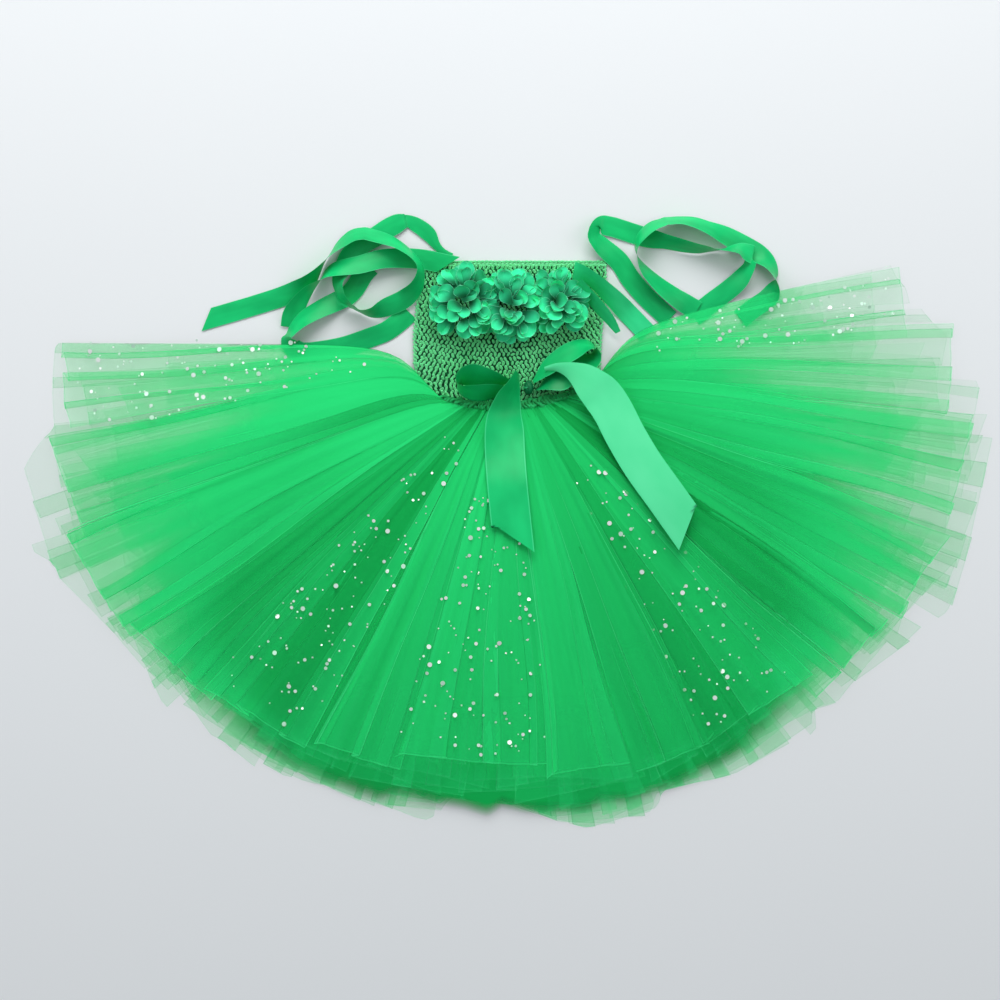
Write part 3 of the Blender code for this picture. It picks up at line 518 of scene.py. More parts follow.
class Shader:
    """A material under construction."""

    def __init__(self, name: str) -> None:
        """Makes an empty material of that name."""
        self.material = bpy.data.materials.new(name)
        self.material.use_nodes = True
        self.tree = self.material.node_tree
        self.surface = self.tree.nodes["Principled BSDF"]

    def feed(self, socket: bpy.types.NodeSocket, value: Feed) -> None:
        """Sets a socket to a number or colour, or links a value to it."""
        if isinstance(value, Value):
            self.tree.links.new(value.socket, socket)
        else:
            socket.default_value = value

    def node(
        self,
        kind: str,
        settings: Optional[dict] = None,
        sockets: Optional[dict] = None,
        output: Union[int, str] = 0,
    ) -> Value:
        """Adds any node.

        Args:
            kind: The node's type.
            settings: Its settings, which are set first.
            sockets: Values and links of its sockets, by name or number.
            output: Which of its outputs is wanted.

        Returns:
            That output.
        """
        node = self.tree.nodes.new(kind)
        for key, value in (settings or {}).items():
            setattr(node, key, value)
        for key, value in (sockets or {}).items():
            self.feed(node.inputs[key], value)
        return Value(self, node.outputs[output])

    def mix(self, share: Feed, one: Feed, other: Feed) -> Value:
        """Blends two colours, all of one at a share of 0 and all of the other at 1."""
        settings = {"data_type": "RGBA"}
        return self.node("ShaderNodeMix", settings, {0: share, 6: one, 7: other}, 2)

    def uv(self) -> tuple[Value, Value]:
        """The piece's own UV map: across the cloth and along it."""
        place = self.node("ShaderNodeUVMap", {"uv_map": UV_NAME})
        across = self.node("ShaderNodeSeparateXYZ", None, {0: place}, 0)
        along = self.node("ShaderNodeSeparateXYZ", None, {0: place}, 1)
        return across, along

    def mark(self, mark: Mark) -> Value:
        """A value that the mesh carries point by point."""
        return self.node("ShaderNodeAttribute", {"attribute_name": mark.value}, None, "Fac")

    def place(self) -> Value:
        """Object coordinates, in metres."""
        return self.node("ShaderNodeTexCoord", None, None, "Object")

    def even_normal(self, share: float) -> Value:
        """The surface's normal, turned upward by a share, as net shades less than solid cloth."""
        own = self.node("ShaderNodeNewGeometry", None, None, "Normal")
        settings = {"data_type": "VECTOR"}
        blend = self.node("ShaderNodeMix", settings, {0: share, 4: own, 5: (0.0, 0.0, 1.0)}, 1)
        return self.node("ShaderNodeVectorMath", {"operation": "NORMALIZE"}, {0: blend})

    def noise(self, where: Value, scale: float, detail: float = 2.0, rough: float = 0.5) -> Value:
        """Noise from 0 to 1 at a place in space."""
        sockets = {"Vector": where, "Scale": scale, "Detail": detail, "Roughness": rough}
        return self.node("ShaderNodeTexNoise", {"noise_dimensions": "3D"}, sockets)

    def streaks(self, across: Value, along: Value, many: float, broken: float) -> Value:
        """Noise drawn out along the cloth.

        Args:
            across: Place across the cloth.
            along: Place along it.
            many: How many streaks lie side by side.
            broken: How often a streak changes along the cloth.

        Returns:
            The noise, from 0 to 1.
        """
        spot = self.node("ShaderNodeCombineXYZ", None, {0: across * many, 1: along * broken, 2: 0.0})
        return self.noise(spot, 1.0, 3.0, 0.6)

    def bump(self, height: Value, depth: float, strength: float = 1.0) -> Value:
        """A normal from a height.

        Args:
            height: The height, from 0 to 1.
            depth: The depth that a height of 1 stands for, in metres.
            strength: How much of it shows.

        Returns:
            The normal.
        """
        sockets = {"Height": height, "Distance": depth, "Strength": strength}
        return self.node("ShaderNodeBump", None, sockets)

@dataclass(frozen=True)
class Finish:
    """A look. Each kind of look says what goes into the sockets of the surface."""

    def sockets(self, shader: Shader) -> dict[str, Feed]:
        """Works out what goes into the sockets."""
        raise NotImplementedError

    def material(self, name: str) -> bpy.types.Material:
        """Makes a material of that name."""
        shader = Shader(name)
        for key, value in self.sockets(shader).items():
            shader.feed(shader.surface.inputs[key], value)
        return shader.material


@dataclass(frozen=True)
class TulleFinish(Finish):
    """Sheer net, denser and lighter along the lines where it is folded."""

    # Deep is the painted shade of folds and packed layers, light the lit net
    deep: tuple = (0.002, 0.36, 0.058, 1.0)
    light: tuple = (0.026, 0.88, 0.235, 1.0)
    pale: tuple = (0.13, 0.98, 0.42, 1.0)
    fold: float = 0.60
    threads: float = 620.0
    evenness: float = 0.7
    roughness: float = 0.8

    def sockets(self, shader: Shader) -> dict[str, Feed]:
        """Works out what goes into the sockets."""
        across, along = shader.uv()
        crease = shader.mark(Mark.CREASE)
        tone = shader.mark(Mark.TONE_AND_SHADE)
        net = (across * self.threads).sine() * (along * self.threads).sine()
        colour = shader.mix(tone, self.deep, self.light)
        alpha = shader.mark(Mark.COVER) * (0.88 + tone * 0.24) + crease * self.fold + net * 0.02
        return {
            "Base Color": shader.mix(crease * 0.7, colour, self.pale),
            "Roughness": self.roughness,
            "Alpha": alpha.math("MINIMUM", alpha, 1.0),
            "Specular IOR Level": 0.08,
            "Normal": shader.even_normal(self.evenness),
        }


@dataclass(frozen=True)
class BaseFinish(Finish):
    """The skirt's packed inner layers, which hide what is below and fade out near the hem, with painted
    shade from deep to light.
    """

    deep: tuple = (0.004, 0.37, 0.070, 1.0)
    light: tuple = (0.014, 0.88, 0.18, 1.0)

    def sockets(self, shader: Shader) -> dict[str, Feed]:
        """Works out what goes into the sockets."""
        return {
            "Base Color": shader.mix(shader.mark(Mark.TONE_AND_SHADE), self.deep, self.light),
            "Roughness": 0.9,
            "Specular IOR Level": 0.08,
            "Alpha": shader.mark(Mark.COVER),
            "Normal": shader.even_normal(0.4),
        }


@dataclass(frozen=True)
class KnotFinish(Finish):
    """Tulle drawn tight into a knot, dense and matt."""

    deep: tuple = (0.003, 0.24, 0.05, 1.0)
    light: tuple = (0.012, 0.54, 0.15, 1.0)
    strands: tuple = (14.0, 3.0)  # side by side, along

    def sockets(self, shader: Shader) -> dict[str, Feed]:
        """Works out what goes into the sockets."""
        across, along = shader.uv()
        strands = shader.streaks(along, across, *self.strands)
        return {
            "Base Color": shader.mix(strands.fit(0.35, 0.7), self.deep, self.light),
            "Roughness": 0.85,
            "Normal": shader.bump(strands, 0.0008, 0.9),
        }


@dataclass(frozen=True)
class SatinFinish(Finish):
    """Woven satin ribbon with a fine corded selvedge along both edges."""

    deep: tuple = (0.004, 0.43, 0.120, 1.0)
    light: tuple = (0.010, 0.64, 0.19, 1.0)
    selvedge: tuple = (0.07, 0.78, 0.32, 1.0)
    ribs: float = 9000.0
    roughness: float = 0.33

    def sockets(self, shader: Shader) -> dict[str, Feed]:
        """Works out what goes into the sockets."""
        across, along = shader.uv()
        ribs = (along * self.ribs).sine()
        drawn = shader.streaks(across, along, 0.6, 9.0)
        side = across.away_from(0.5)
        cord = side.fit(0.462, 0.478) * (1.0 - side.fit(0.488, 0.5) * 0.5)
        colour = shader.mix(drawn.fit(0.3, 0.7), self.deep, self.light)
        return {
            "Base Color": shader.mix(cord * 0.6, colour, self.selvedge),
            "Roughness": drawn.fit(0.2, 0.8, self.roughness - 0.04, self.roughness + 0.06),
            "Specular IOR Level": 0.18,
            "Normal": shader.bump(ribs * 0.12 + cord, 0.0002, 0.4),
        }


# A lit copy of the satin, with painted light, for the right front strap
PAINTED_LIGHT_SATIN = SatinFinish(deep=(0.02, 0.66, 0.23, 1.0), light=(0.05, 0.84, 0.34, 1.0))
# A shaded copy of the satin, with painted shade, for the bow's knot
PAINTED_SHADE_KNOT_SATIN = SatinFinish(deep=(0.001, 0.09, 0.03, 1.0), light=(0.003, 0.20, 0.065, 1.0))

# Ribbons of the bow that catch more or less of the light than the others
BOW_FINISHES = {
    "bow_tail_right": SatinFinish(deep=(0.085, 0.78, 0.33, 1.0), light=(0.12, 0.84, 0.39, 1.0)),
    "bow_loop_right_lower": SatinFinish(deep=(0.003, 0.30, 0.085, 1.0), light=(0.008, 0.46, 0.14, 1.0)),
}


@dataclass(frozen=True)
class ChiffonFinish(Finish):
    """Matt chiffon petals, with painted shade deep at the foot where they overlap, and pale along the
    cut rim.
    """

    deep: tuple = (0.002, 0.17, 0.065, 1.0)
    light: tuple = (0.050, 1.0, 0.46, 1.0)
    rim: tuple = (0.24, 0.97, 0.62, 1.0)
    grain: float = 2600.0

    def sockets(self, shader: Shader) -> dict[str, Feed]:
        """Works out what goes into the sockets."""
        across, along = shader.uv()
        side = across.away_from(0.5) * 2.0
        edge = side.math("MAXIMUM", side, along)
        petal = shader.mark(Mark.TONE_AND_SHADE)
        # Painted shade at the foot of a petal and painted light towards its end, more or less for each
        # petal
        lit = along.fit(0.15, 0.8) * (0.6 + petal * 0.5)
        colour = shader.mix(lit.math("MINIMUM", lit, 1.0), self.deep, self.light)
        crepe = shader.noise(shader.place(), self.grain, 1.0)
        return {
            "Base Color": shader.mix(edge.fit(0.92, 0.985) * 0.7, colour, self.rim),
            "Roughness": 0.85,
            "Specular IOR Level": 0.2,
            "Sheen Weight": 0.15,
            "Normal": shader.bump(crepe, 0.0002, 0.6),
        }


@dataclass(frozen=True)
class YarnFinish(Finish):
    """Crochet yarn: matt, with twisted fibres, with painted light on top and painted shade towards the
    holes.
    """

    deep: tuple = (0.006, 0.36, 0.10, 1.0)
    light: tuple = (0.19, 1.0, 0.40, 1.0)
    twists: float = 38.0
    patches: float = 170.0
    roughness: float = 0.6

    def sockets(self, shader: Shader) -> dict[str, Feed]:
        """Works out what goes into the sockets."""
        across, high = shader.uv()
        twist = ((across + high * 2.0) * self.twists).sine()
        patches = shader.noise(shader.place(), self.patches)
        # Painted light on the top of the yarn and painted shade down towards the holes, broken up by
        # noise
        lit = (high + (patches - 0.5) * 0.7).fit(0.16, 0.44)
        return {
            "Base Color": shader.mix(lit, self.deep, self.light),
            "Roughness": self.roughness,
            "Sheen Weight": 0.2,
            "Normal": shader.bump(twist, 0.0002, 0.6),
        }


@dataclass(frozen=True)
class GroundFinish(Finish):
    """The shaded ground of the crochet, seen through the holes between its stitches."""

    deep: tuple = (0.0006, 0.020, 0.007, 1.0)
    light: tuple = (0.006, 0.15, 0.045, 1.0)
    spots: float = 420.0

    def sockets(self, shader: Shader) -> dict[str, Feed]:
        """Works out what goes into the sockets."""
        spots = shader.noise(shader.place(), self.spots)
        return {
            "Base Color": shader.mix(spots.fit(0.35, 0.7), self.deep, self.light),
            "Roughness": 0.95,
            "Specular IOR Level": 0.2,
            "Normal": shader.bump(spots, 0.0012, 0.8),
        }


@dataclass(frozen=True)
class SequinFinish(Finish):
    """Small bright foil discs."""

    one: tuple = (0.97, 1.0, 0.98, 1.0)
    other: tuple = (0.62, 0.90, 0.72, 1.0)

    def sockets(self, shader: Shader) -> dict[str, Feed]:
        """Works out what goes into the sockets."""
        across, along = shader.uv()
        return {
            "Base Color": shader.mix(across.fit(0.2, 0.8), self.one, self.other),
            "Roughness": along.fit(0.0, 1.0, 0.12, 0.4),
            "Metallic": 0.35,
        }


@dataclass(frozen=True)
class FloorFinish(Finish):
    """A pale, even, slightly mottled surface."""

    tone: tuple = (0.80, 0.825, 0.84, 1.0)
    other: tuple = (0.83, 0.85, 0.86, 1.0)
    clouds: float = 1.4

    def sockets(self, shader: Shader) -> dict[str, Feed]:
        """Works out what goes into the sockets."""
        cloud = shader.noise(shader.place(), self.clouds)
        return {"Base Color": shader.mix(cloud, self.tone, self.other), "Roughness": 0.7}


class Patch(NamedTuple):
    """A grid of points in millimetres, with its UV places and its marks."""

    points: np.ndarray
    uv: np.ndarray
    marks: dict[Mark, np.ndarray] = {}


def grid_uv(rows: int, columns: int, first: float = 0.0, last: float = 1.0) -> np.ndarray:
    """UV places of a grid, from first to last across it and from 0 to 1 along it."""
    across, along = np.meshgrid(np.linspace(first, last, columns), np.linspace(0.0, 1.0, rows))
    return np.stack([across, along], axis=-1)


def grid_between(start: np.ndarray, end: np.ndarray, steps: np.ndarray) -> np.ndarray:
    """A grid of values that go from start to end, one row a step."""
    return start[None] + steps[:, None] * (end - start)[None]


def make_mesh(
    name: str, points: np.ndarray, faces: np.ndarray, uv: np.ndarray
) -> bpy.types.Object:
    """Makes a smoothly shaded object from points and faces.

    Args:
        name: The object's name.
        points: Its points, in millimetres.
        faces: Its faces, as point numbers.
        uv: The UV place of each point.

    Returns:
        The object, at the origin.
    """
    mesh = bpy.data.meshes.new(name)
    mesh.from_pydata((points * MM).tolist(), [], faces.tolist())
    layer = mesh.uv_layers.new(name=UV_NAME)
    layer.data.foreach_set("uv", uv[faces.reshape(-1)].reshape(-1).astype(np.float32))
    mesh.shade_smooth()
    piece = bpy.data.objects.new(name, mesh)
    bpy.context.scene.collection.objects.link(piece)
    return piece


def make_cloth(name: str, patches: Sequence[Patch], ring: bool = False) -> bpy.types.Object:
    """Joins grids of points in one mesh of single thickness.

    Args:
        name: The object's name.
        patches: The grids, all with the same marks.
        ring: Whether the last column of each grid meets its first.

    Returns:
        The object, at the origin.
    """
    faces = []
    start = 0
    for patch in patches:
        rows, columns = patch.points.shape[:2]
        numbers = np.arange(rows * columns).reshape(rows, columns) + start
        if ring:
            numbers = np.concatenate([numbers, numbers[:, :1]], axis=1)
        quads = [numbers[:-1, :-1], numbers[:-1, 1:], numbers[1:, 1:], numbers[1:, :-1]]
        faces.append(np.stack(quads, axis=-1).reshape(-1, 4))
        start += rows * columns
    points = np.concatenate([patch.points.reshape(-1, 3) for patch in patches])
    uv = np.concatenate([patch.uv.reshape(-1, 2) for patch in patches])
    piece = make_mesh(name, points, np.concatenate(faces), uv)
    for mark in patches[0].marks:
        values = np.concatenate([patch.marks[mark].reshape(-1) for patch in patches])
        attribute = piece.data.attributes.new(name=mark.value, type="FLOAT", domain="POINT")
        attribute.data.foreach_set("value", values.astype(np.float32))
    return piece


def hand_over(
    piece: bpy.types.Object, finish: Finish, nodes: Sequence[str] = ()
) -> None:
    """Gives a piece its look and body, and hides the solids that it stands for.

    Args:
        piece: The piece.
        finish: Its look.
        nodes: The solids that it replaces.
    """
    piece.data.materials.append(finish.material(piece.name))
    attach(piece, BODY)
    if nodes:
        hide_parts(*nodes)
    LOG.info("%s: %d faces", piece.name, len(piece.data.polygons))


def join_copies(
    name: str, form: tuple[np.ndarray, np.ndarray, np.ndarray], places: Sequence[np.ndarray]
) -> bpy.types.Object:
    """Joins many copies of a small mesh in one object.

    Args:
        name: The object's name.
        form: Points in millimetres, faces as point numbers, and the UV places, one for each
            point, or one for each copy with an axis for its points.
        places: A 4 by 4 matrix for each copy.

    Returns:
        The object, at the origin.
    """
    points, faces, uvs = form
    solid = np.concatenate([points, np.ones((len(points), 1))], axis=1)
    copies = np.einsum("nij,pj->npi", np.array(places), solid)[..., :3].reshape(-1, 3)
    shift = (np.arange(len(places)) * len(points))[:, None, None]
    every = np.broadcast_to(uvs, (len(places), len(points), 2)).reshape(-1, 2)
    return make_mesh(name, copies, (faces[None] + shift).reshape(-1, faces.shape[1]), every)


def turn_matrix(axis: Sequence[float], angle: float) -> np.ndarray:
    """A 3 by 3 matrix that turns about an axis, by an angle in radians."""
    x, y, z = np.array(axis) / np.linalg.norm(axis)
    cross = np.array([[0.0, -z, y], [z, 0.0, -x], [-y, x, 0.0]])
    return np.eye(3) + math.sin(angle) * cross + (1.0 - math.cos(angle)) * (cross @ cross)


def place_matrix(turned: np.ndarray, centre: Sequence[float]) -> np.ndarray:
    """A 4 by 4 matrix from a turned and scaled frame and its centre."""
    whole = np.eye(4)
    whole[:3, :3] = turned
    whole[:3, 3] = centre
    return whole


@dataclass(frozen=True)
class Fan:
    """The skirt's coordinates and heights, the same as those of its solids."""

    first: float = 172.0
    last: float = 381.0
    waist_left: tuple = (-78.0, 3.0)
    waist_right: tuple = (92.0, 16.0)
    waist_sag: float = 21.0
    bulge: float = 50.0
    bulge_turn: float = 40.0
    bulge_rise: float = 25.0
    bulge_reach: float = 400.0
    thin_turn: float = 35.0
    corner_reach: float = 9.0
    column: float = 1.2
    swell_turn: float = 15.0
    clear: float = 0.5
    layer_step: float = 2.0
    wall: float = 1.6
    halvings: int = 30

    def waist_at(self, share: np.ndarray) -> tuple[np.ndarray, np.ndarray]:
        """The place of a share of the way along the waist, from its left end."""
        x = self.waist_left[0] + share * (self.waist_right[0] - self.waist_left[0])
        y = self.waist_left[1] + share * (self.waist_right[1] - self.waist_left[1])
        return x, y - self.waist_sag * (1.0 - (2.0 * share - 1.0) ** 2)

    def waist(self, turn: np.ndarray) -> tuple[np.ndarray, np.ndarray]:
        """Where the ray of a turn leaves the waist."""
        return self.waist_at((turn - self.first) / (self.last - self.first))

    def points(self, turn: np.ndarray, reach: np.ndarray, z: np.ndarray) -> np.ndarray:
        """Points with those turns and reaches at those heights, in the last axis."""
        return np.stack([*self.place(turn, reach), z], axis=-1)

    def end_share(self, turn: np.ndarray, width: float) -> np.ndarray:
        """1 at either upper end of the fan, and 0 from so many degrees inside it."""
        first = smooth_step((self.first + width - turn) / width)
        return first + smooth_step((turn - self.last + width) / width)

    def place(self, turn: np.ndarray, reach: np.ndarray) -> tuple[np.ndarray, np.ndarray]:
        """The place in plan of a point, whose upper ends bulge towards the neck."""
        x, y = self.waist(turn)
        fade = np.maximum(0.0, 1.0 - reach / self.bulge_reach)
        rise = 1.0 - np.exp(-reach / self.bulge_rise)
        bulge = self.bulge * self.end_share(turn, self.bulge_turn) * rise * fade
        angle = np.radians(turn)
        return x + reach * np.cos(angle), y + reach * np.sin(angle) + bulge

    def height(self, turn: np.ndarray, reach: np.ndarray) -> np.ndarray:
        """Top of the hidden layers."""
        thin = np.minimum(1.0, self.end_share(turn, self.thin_turn))
        full = table_value(SKIRT_ROWS, "full", reach)
        return full + thin * (table_value(SKIRT_ROWS, "thin", reach) - full)

    def pleat(self, turn: np.ndarray) -> np.ndarray:
        """Height of the pleats at a turn, as a share of their depth, rounded between columns."""
        spot = turn / self.column
        low = np.floor(spot)
        ease = smooth_step(spot - low)
        ease = 0.5 * (ease + spot - low)
        index = low.astype(int) - PLEAT_FIRST
        return PLEATS[index] + ease * (PLEATS[index + 1] - PLEATS[index])

    def strip_height(self, turn: np.ndarray, reach: np.ndarray, layer: float) -> np.ndarray:
        """Underside of a strip that shows."""
        thin = np.minimum(1.0, self.end_share(turn, self.thin_turn))
        pleat = table_value(SKIRT_ROWS, "pleat", reach) * (1.0 - 0.5 * thin)
        swell = table_value(SKIRT_ROWS, "swell", reach) * (1.0 - thin)
        wave = 0.5 + 0.5 * np.cos(math.tau * turn / self.swell_turn)
        low = self.height(turn, reach) + self.clear + layer * self.layer_step
        return low + 2.0 * pleat * self.pleat(turn) + swell * wave

    def start(self, turn: np.ndarray) -> np.ndarray:
        """The reach at which the tulle of a turn begins."""
        return SKIRT_ROWS[0].reach + self.corner_reach * self.end_share(turn, self.bulge_turn)

    def coordinates(self, x: float, y: float) -> tuple[float, float]:
        """Turn and reach of a place below the waist, away from the two upper ends."""
        low, high = self.first + self.bulge_turn, self.last - self.bulge_turn
        for _ in range(self.halvings):
            turn = 0.5 * (low + high)
            start_x, start_y = self.waist(turn)
            angle = math.radians(turn)
            if math.cos(angle) * (y - start_y) > math.sin(angle) * (x - start_x):
                low = turn
            else:
                high = turn
        out = (x - start_x) * math.cos(angle) + (y - start_y) * math.sin(angle)
        return turn, max(0.0, out)

    def top(self, x: float, y: float, half_width: float) -> float:
        """The highest that the strips come within half a ribbon's width of a place."""
        tops = []
        for side in (-half_width, 0.0, half_width):
            turn, reach = self.coordinates(x + side, y)
            pleat = 2.0 * table_value(SKIRT_ROWS, "pleat", reach)
            swell = table_value(SKIRT_ROWS, "swell", reach)
            tops.append(float(self.height(turn, reach) + pleat + swell))
        return max(tops) + self.clear + self.layer_step + self.wall


FAN = Fan()

# Each pleat is three columns wide, and the columns run past both ends of the fan
PLEAT_SEED = 11
PLEAT_COLUMNS = 3
PLEAT_MARGIN = 12.0
PLEAT_FIRST = round((FAN.first - PLEAT_MARGIN) / FAN.column)


def make_pleats() -> np.ndarray:
    """Heights of the skirt's pleats column by column, the same as those of its solids."""
    dice = random.Random(PLEAT_SEED)
    last = round((FAN.last + PLEAT_MARGIN) / FAN.column)
    heights = []
    crest = 1.0
    for column in range(PLEAT_FIRST, last):
        phase = column % PLEAT_COLUMNS
        if phase == 0:
            crest = dice.uniform(0.55, 1.0)
        heights.append(crest if phase == 1 else crest * dice.uniform(0.0, 0.25))
    return np.array(heights)


PLEATS = make_pleats()


class Folds(NamedTuple):
    """The columns of a folded strip: where each one lies, how far it is tucked from 0 to 1, its
    crease and its tone, a painted shade that differs fold by fold, and how much longer than
    the strip it is, from -1 to 1."""

    turn: np.ndarray
    tuck: np.ndarray
    crease: np.ndarray
    tone: np.ndarray
    length: np.ndarray


@dataclass
class Skirt:
    """The tutu: strips of tulle that show, the layers below them and their knots.

    Turns are in degrees, and the sway of a knot and the tip of a sequin are in radians. A pair is
    the least and the most of a value, unless its comment says otherwise.
    """

    strip_width: float = 0.15
    seed: int = 5
    # Folds of a strip
    column: float = 0.75
    fold_turn: float = 5.2
    fold_places: tuple = (0.25, 0.85)
    fold_backs: tuple = (0.06, 0.17)
    least_back: float = 0.3
    crease_turn: float = 0.15
    creases: tuple = (0.35, 1.0)
    hem_crease: float = 0.45
    crease_starts: tuple = (10.0, 90.0)
    crease_ends: tuple = (0.6, 1.8)
    shades: tuple = (0.15, 0.95)
    shade_step: float = 0.36
    packed_shade: float = 0.92
    # How a strip lies
    rows: int = 26
    row_bend: float = 1.15
    gaps: tuple = (0.3, 2.4)
    pleat_drop: float = 1.1
    ripple: float = 0.35
    ripple_waves: float = 4.1
    drift: float = 0.7
    drift_reach: float = 120.0
    drift_waves: tuple = (118.0, 47.0)  # long, short
    side_margins: tuple = (0.3, 0.8)  # left, right
    scallop: float = 4.0
    ragged: float = 3.0
    most_plies: float = 4.0
    gathered_reach: float = 110.0
    cloth_scale: tuple = (0.07, 0.01)  # across, along
    # Hidden strips
    layers: int = 8
    layers_a_piece: int = 3
    outline_layers: int = 3
    leaf_turn: float = 17.0
    leaf_widths: tuple = (0.6, 1.4)
    leaf_rows: int = 13
    leaf_share: float = 0.36
    leaf_fold: float = 0.26
    leaf_slant: float = 0.8
    side_slant: float = 2.6
    front: tuple = (225.0, 315.0)
    end_turn: float = 24.0
    layer_lift: float = 0.35
    lowest: float = 0.3
    # Packed inner layers
    base_columns: int = 411
    base_rows: int = 30
    base_reach: float = 412.0
    base_ends: tuple = (1.0, 3.0)  # left, right
    hem_blur: float = 7.0
    under_waist: float = 10.0
    end_fades: tuple = (16.0, 18.0)  # left, right
    middle_turn: float = 276.0
    # Painted shade near the front of the hem, and in stripes of turn where few layers lie
    front_half: float = 55.0
    front_fade: float = 25.0
    hem_shade: float = 0.85
    band_edge: float = 0.25
    band_turns: tuple = (1.2, 6.5)
    dark_share: float = 0.3
    dark_tones: tuple = (0.0, 0.25)
    light_tones: tuple = (0.4, 1.0)
    # Knots and sequins
    knots: int = 44
    knot_turns: tuple = (183.5, 369.5)
    knot_height: float = 9.6
    knot_sizes: tuple = (0.9, 1.5)
    knot_sway: float = 0.5
    knot_inset: float = 4.5
    knot_strays: tuple = (-1.2, 0.8)
    ring_radius: float = 2.5
    loop_radius: float = 1.35
    sequin_corners: int = 9
    sequin_radii: tuple = (0.7, 0.95, 1.3, 1.8, 2.4)
    sequin_shares: tuple = (0.28, 0.24, 0.2, 0.17, 0.11)
    sequin_tip: float = 0.45

    def knife_pleats(
        self, first: float, last: float, count: int, dice: np.random.Generator
    ) -> Folds:
        """Lays the width of a strip out in folds that double back under or over it.

        Args:
            first: The turn at which the strip begins.
            last: The turn at which it ends.
            count: How many times it doubles back.
            dice: Random numbers.

        Returns:
            Its columns.
        """
        span = last - first
        places = np.arange(count) + dice.uniform(*self.fold_places, count)
        stops = [(first, 0.0)]
        for at in first + span * places / count:
            back = min(dice.uniform(*self.fold_backs) * span, at - stops[-1][0] - 0.02 * span)
            near, far = (0.0, 1.0) if dice.uniform() < 0.5 else (1.0, 0.0)
            stops += [(at, near), (at - max(back, self.least_back), far)]
        stops.append((last, 0.0))
        pieces = []
        # Painted shade of the strip, with a step from it for each fold
        shade = dice.uniform(*self.shades)
        long = dice.uniform(-1.0, 1.0)
        for (start, low), (end, high) in zip(stops, stops[1:]):
            size = abs(end - start)
            edge = min(self.crease_turn / size, 0.3)
            inside = np.linspace(edge, 1.0 - edge, max(2, round(size / self.column)))
            shares = np.concatenate([[0.0], inside, [1.0]])
            tone = min(1.0, max(0.0, shade + dice.uniform(-self.shade_step, self.shade_step)))
            ahead = dice.uniform(-1.0, 1.0)
            at_fold = (shares == 0.0) | (shares == 1.0)
            columns = (
                start + shares * (end - start),
                low + shares * (high - low),
                np.where(at_fold, dice.uniform(*self.creases), 0.0),
                np.full(len(shares), tone),
                long + shares * (ahead - long),
            )
            pieces.append(np.stack(columns))
            long = ahead
        kept = [piece[:, :-1] for piece in pieces]
        return Folds(*np.concatenate([*kept, pieces[-1][:, -1:]], axis=1))

    def lay(self, columns: np.ndarray, reach: np.ndarray, dice: np.random.Generator) -> np.ndarray:
        """Lets the columns of a strip wander a little to either side on their way to the hem.

        Args:
            columns: The turn of each column.
            reach: The reach of each point.
            dice: Random numbers.

        Returns:
            The turn of each point.
        """
        phase = dice.uniform(*ANY_PHASE, 2)
        long, short = self.drift_waves
        wander = np.sin(reach / long + phase[0] + 0.22 * columns[None])
        wander = wander + 0.45 * np.sin(reach / short + phase[1] + 0.35 * columns[None])
        turn = columns[None] + self.drift * smooth_step(reach / self.drift_reach) * wander
        return np.clip(turn, FAN.first + self.side_margins[0], FAN.last - self.side_margins[1])

    def packed(self, turn: np.ndarray, reach: np.ndarray) -> np.ndarray:
        """How closely the layers lie at a place, from 0 at the sheer hem to 1 inside."""
        longest = table_value(HEM_ROWS, "reach", turn)
        solid = table_value(COVER_ROWS, "solid", turn) * longest
        sheer = table_value(COVER_ROWS, "sheer", turn) * longest
        inside = smooth_step((0.5 * (solid + sheer) - reach) / (1.4 * (sheer - solid)))
        near = self.gathered_reach
        return np.maximum(inside, smooth_step((near - reach) / near))

    def net_patch(
        self,
        folds: Folds,
        ply: float,
        z: np.ndarray,
        turn: np.ndarray,
        reach: np.ndarray,
        hem: np.ndarray,
        dice: np.random.Generator,
    ) -> Patch:
        """Makes a grid of net, denser where it is drawn together.

        Args:
            folds: The columns of the strip.
            ply: How much one layer hides at the hem.
            z: The height of each point.
            turn: The turn of each point.
            reach: The reach of each point.
            hem: The reach at which each column ends.
            dice: Random numbers.

        Returns:
            The grid, whose UV places are in tenths of a metre of cloth.
        """
        begin = dice.uniform(*self.crease_starts, len(hem))
        end = hem * dice.uniform(*self.crease_ends, len(hem))
        fade = smooth_step((reach - begin) / 60.0) * smooth_step((end - reach) / 90.0)
        crease = folds.crease * fade
        crease[-1] = np.maximum(crease[-1], self.hem_crease)
        # Painted shade: darker where the layers lie packed and shade each other, lighter where they are
        # sheer
        packed = self.packed(turn, reach)
        tone = folds.tone * self.packed_shade * packed
        tone = tone + (1.0 - packed) * (0.75 + 0.25 * folds.tone)
        plies = np.clip(hem / np.maximum(reach, 1.0), 1.0, self.most_plies)
        cover = 1.0 - (1.0 - ply) ** plies
        across = np.concatenate([[0.0], np.cumsum(np.abs(np.diff(folds.turn)))])
        across = np.broadcast_to(across * self.cloth_scale[0], reach.shape)
        uv = np.stack([across, reach * self.cloth_scale[1]], axis=-1)
        marks = {Mark.CREASE: crease, Mark.TONE_AND_SHADE: tone, Mark.COVER: cover}
        return Patch(FAN.points(turn, reach, z), uv, marks)

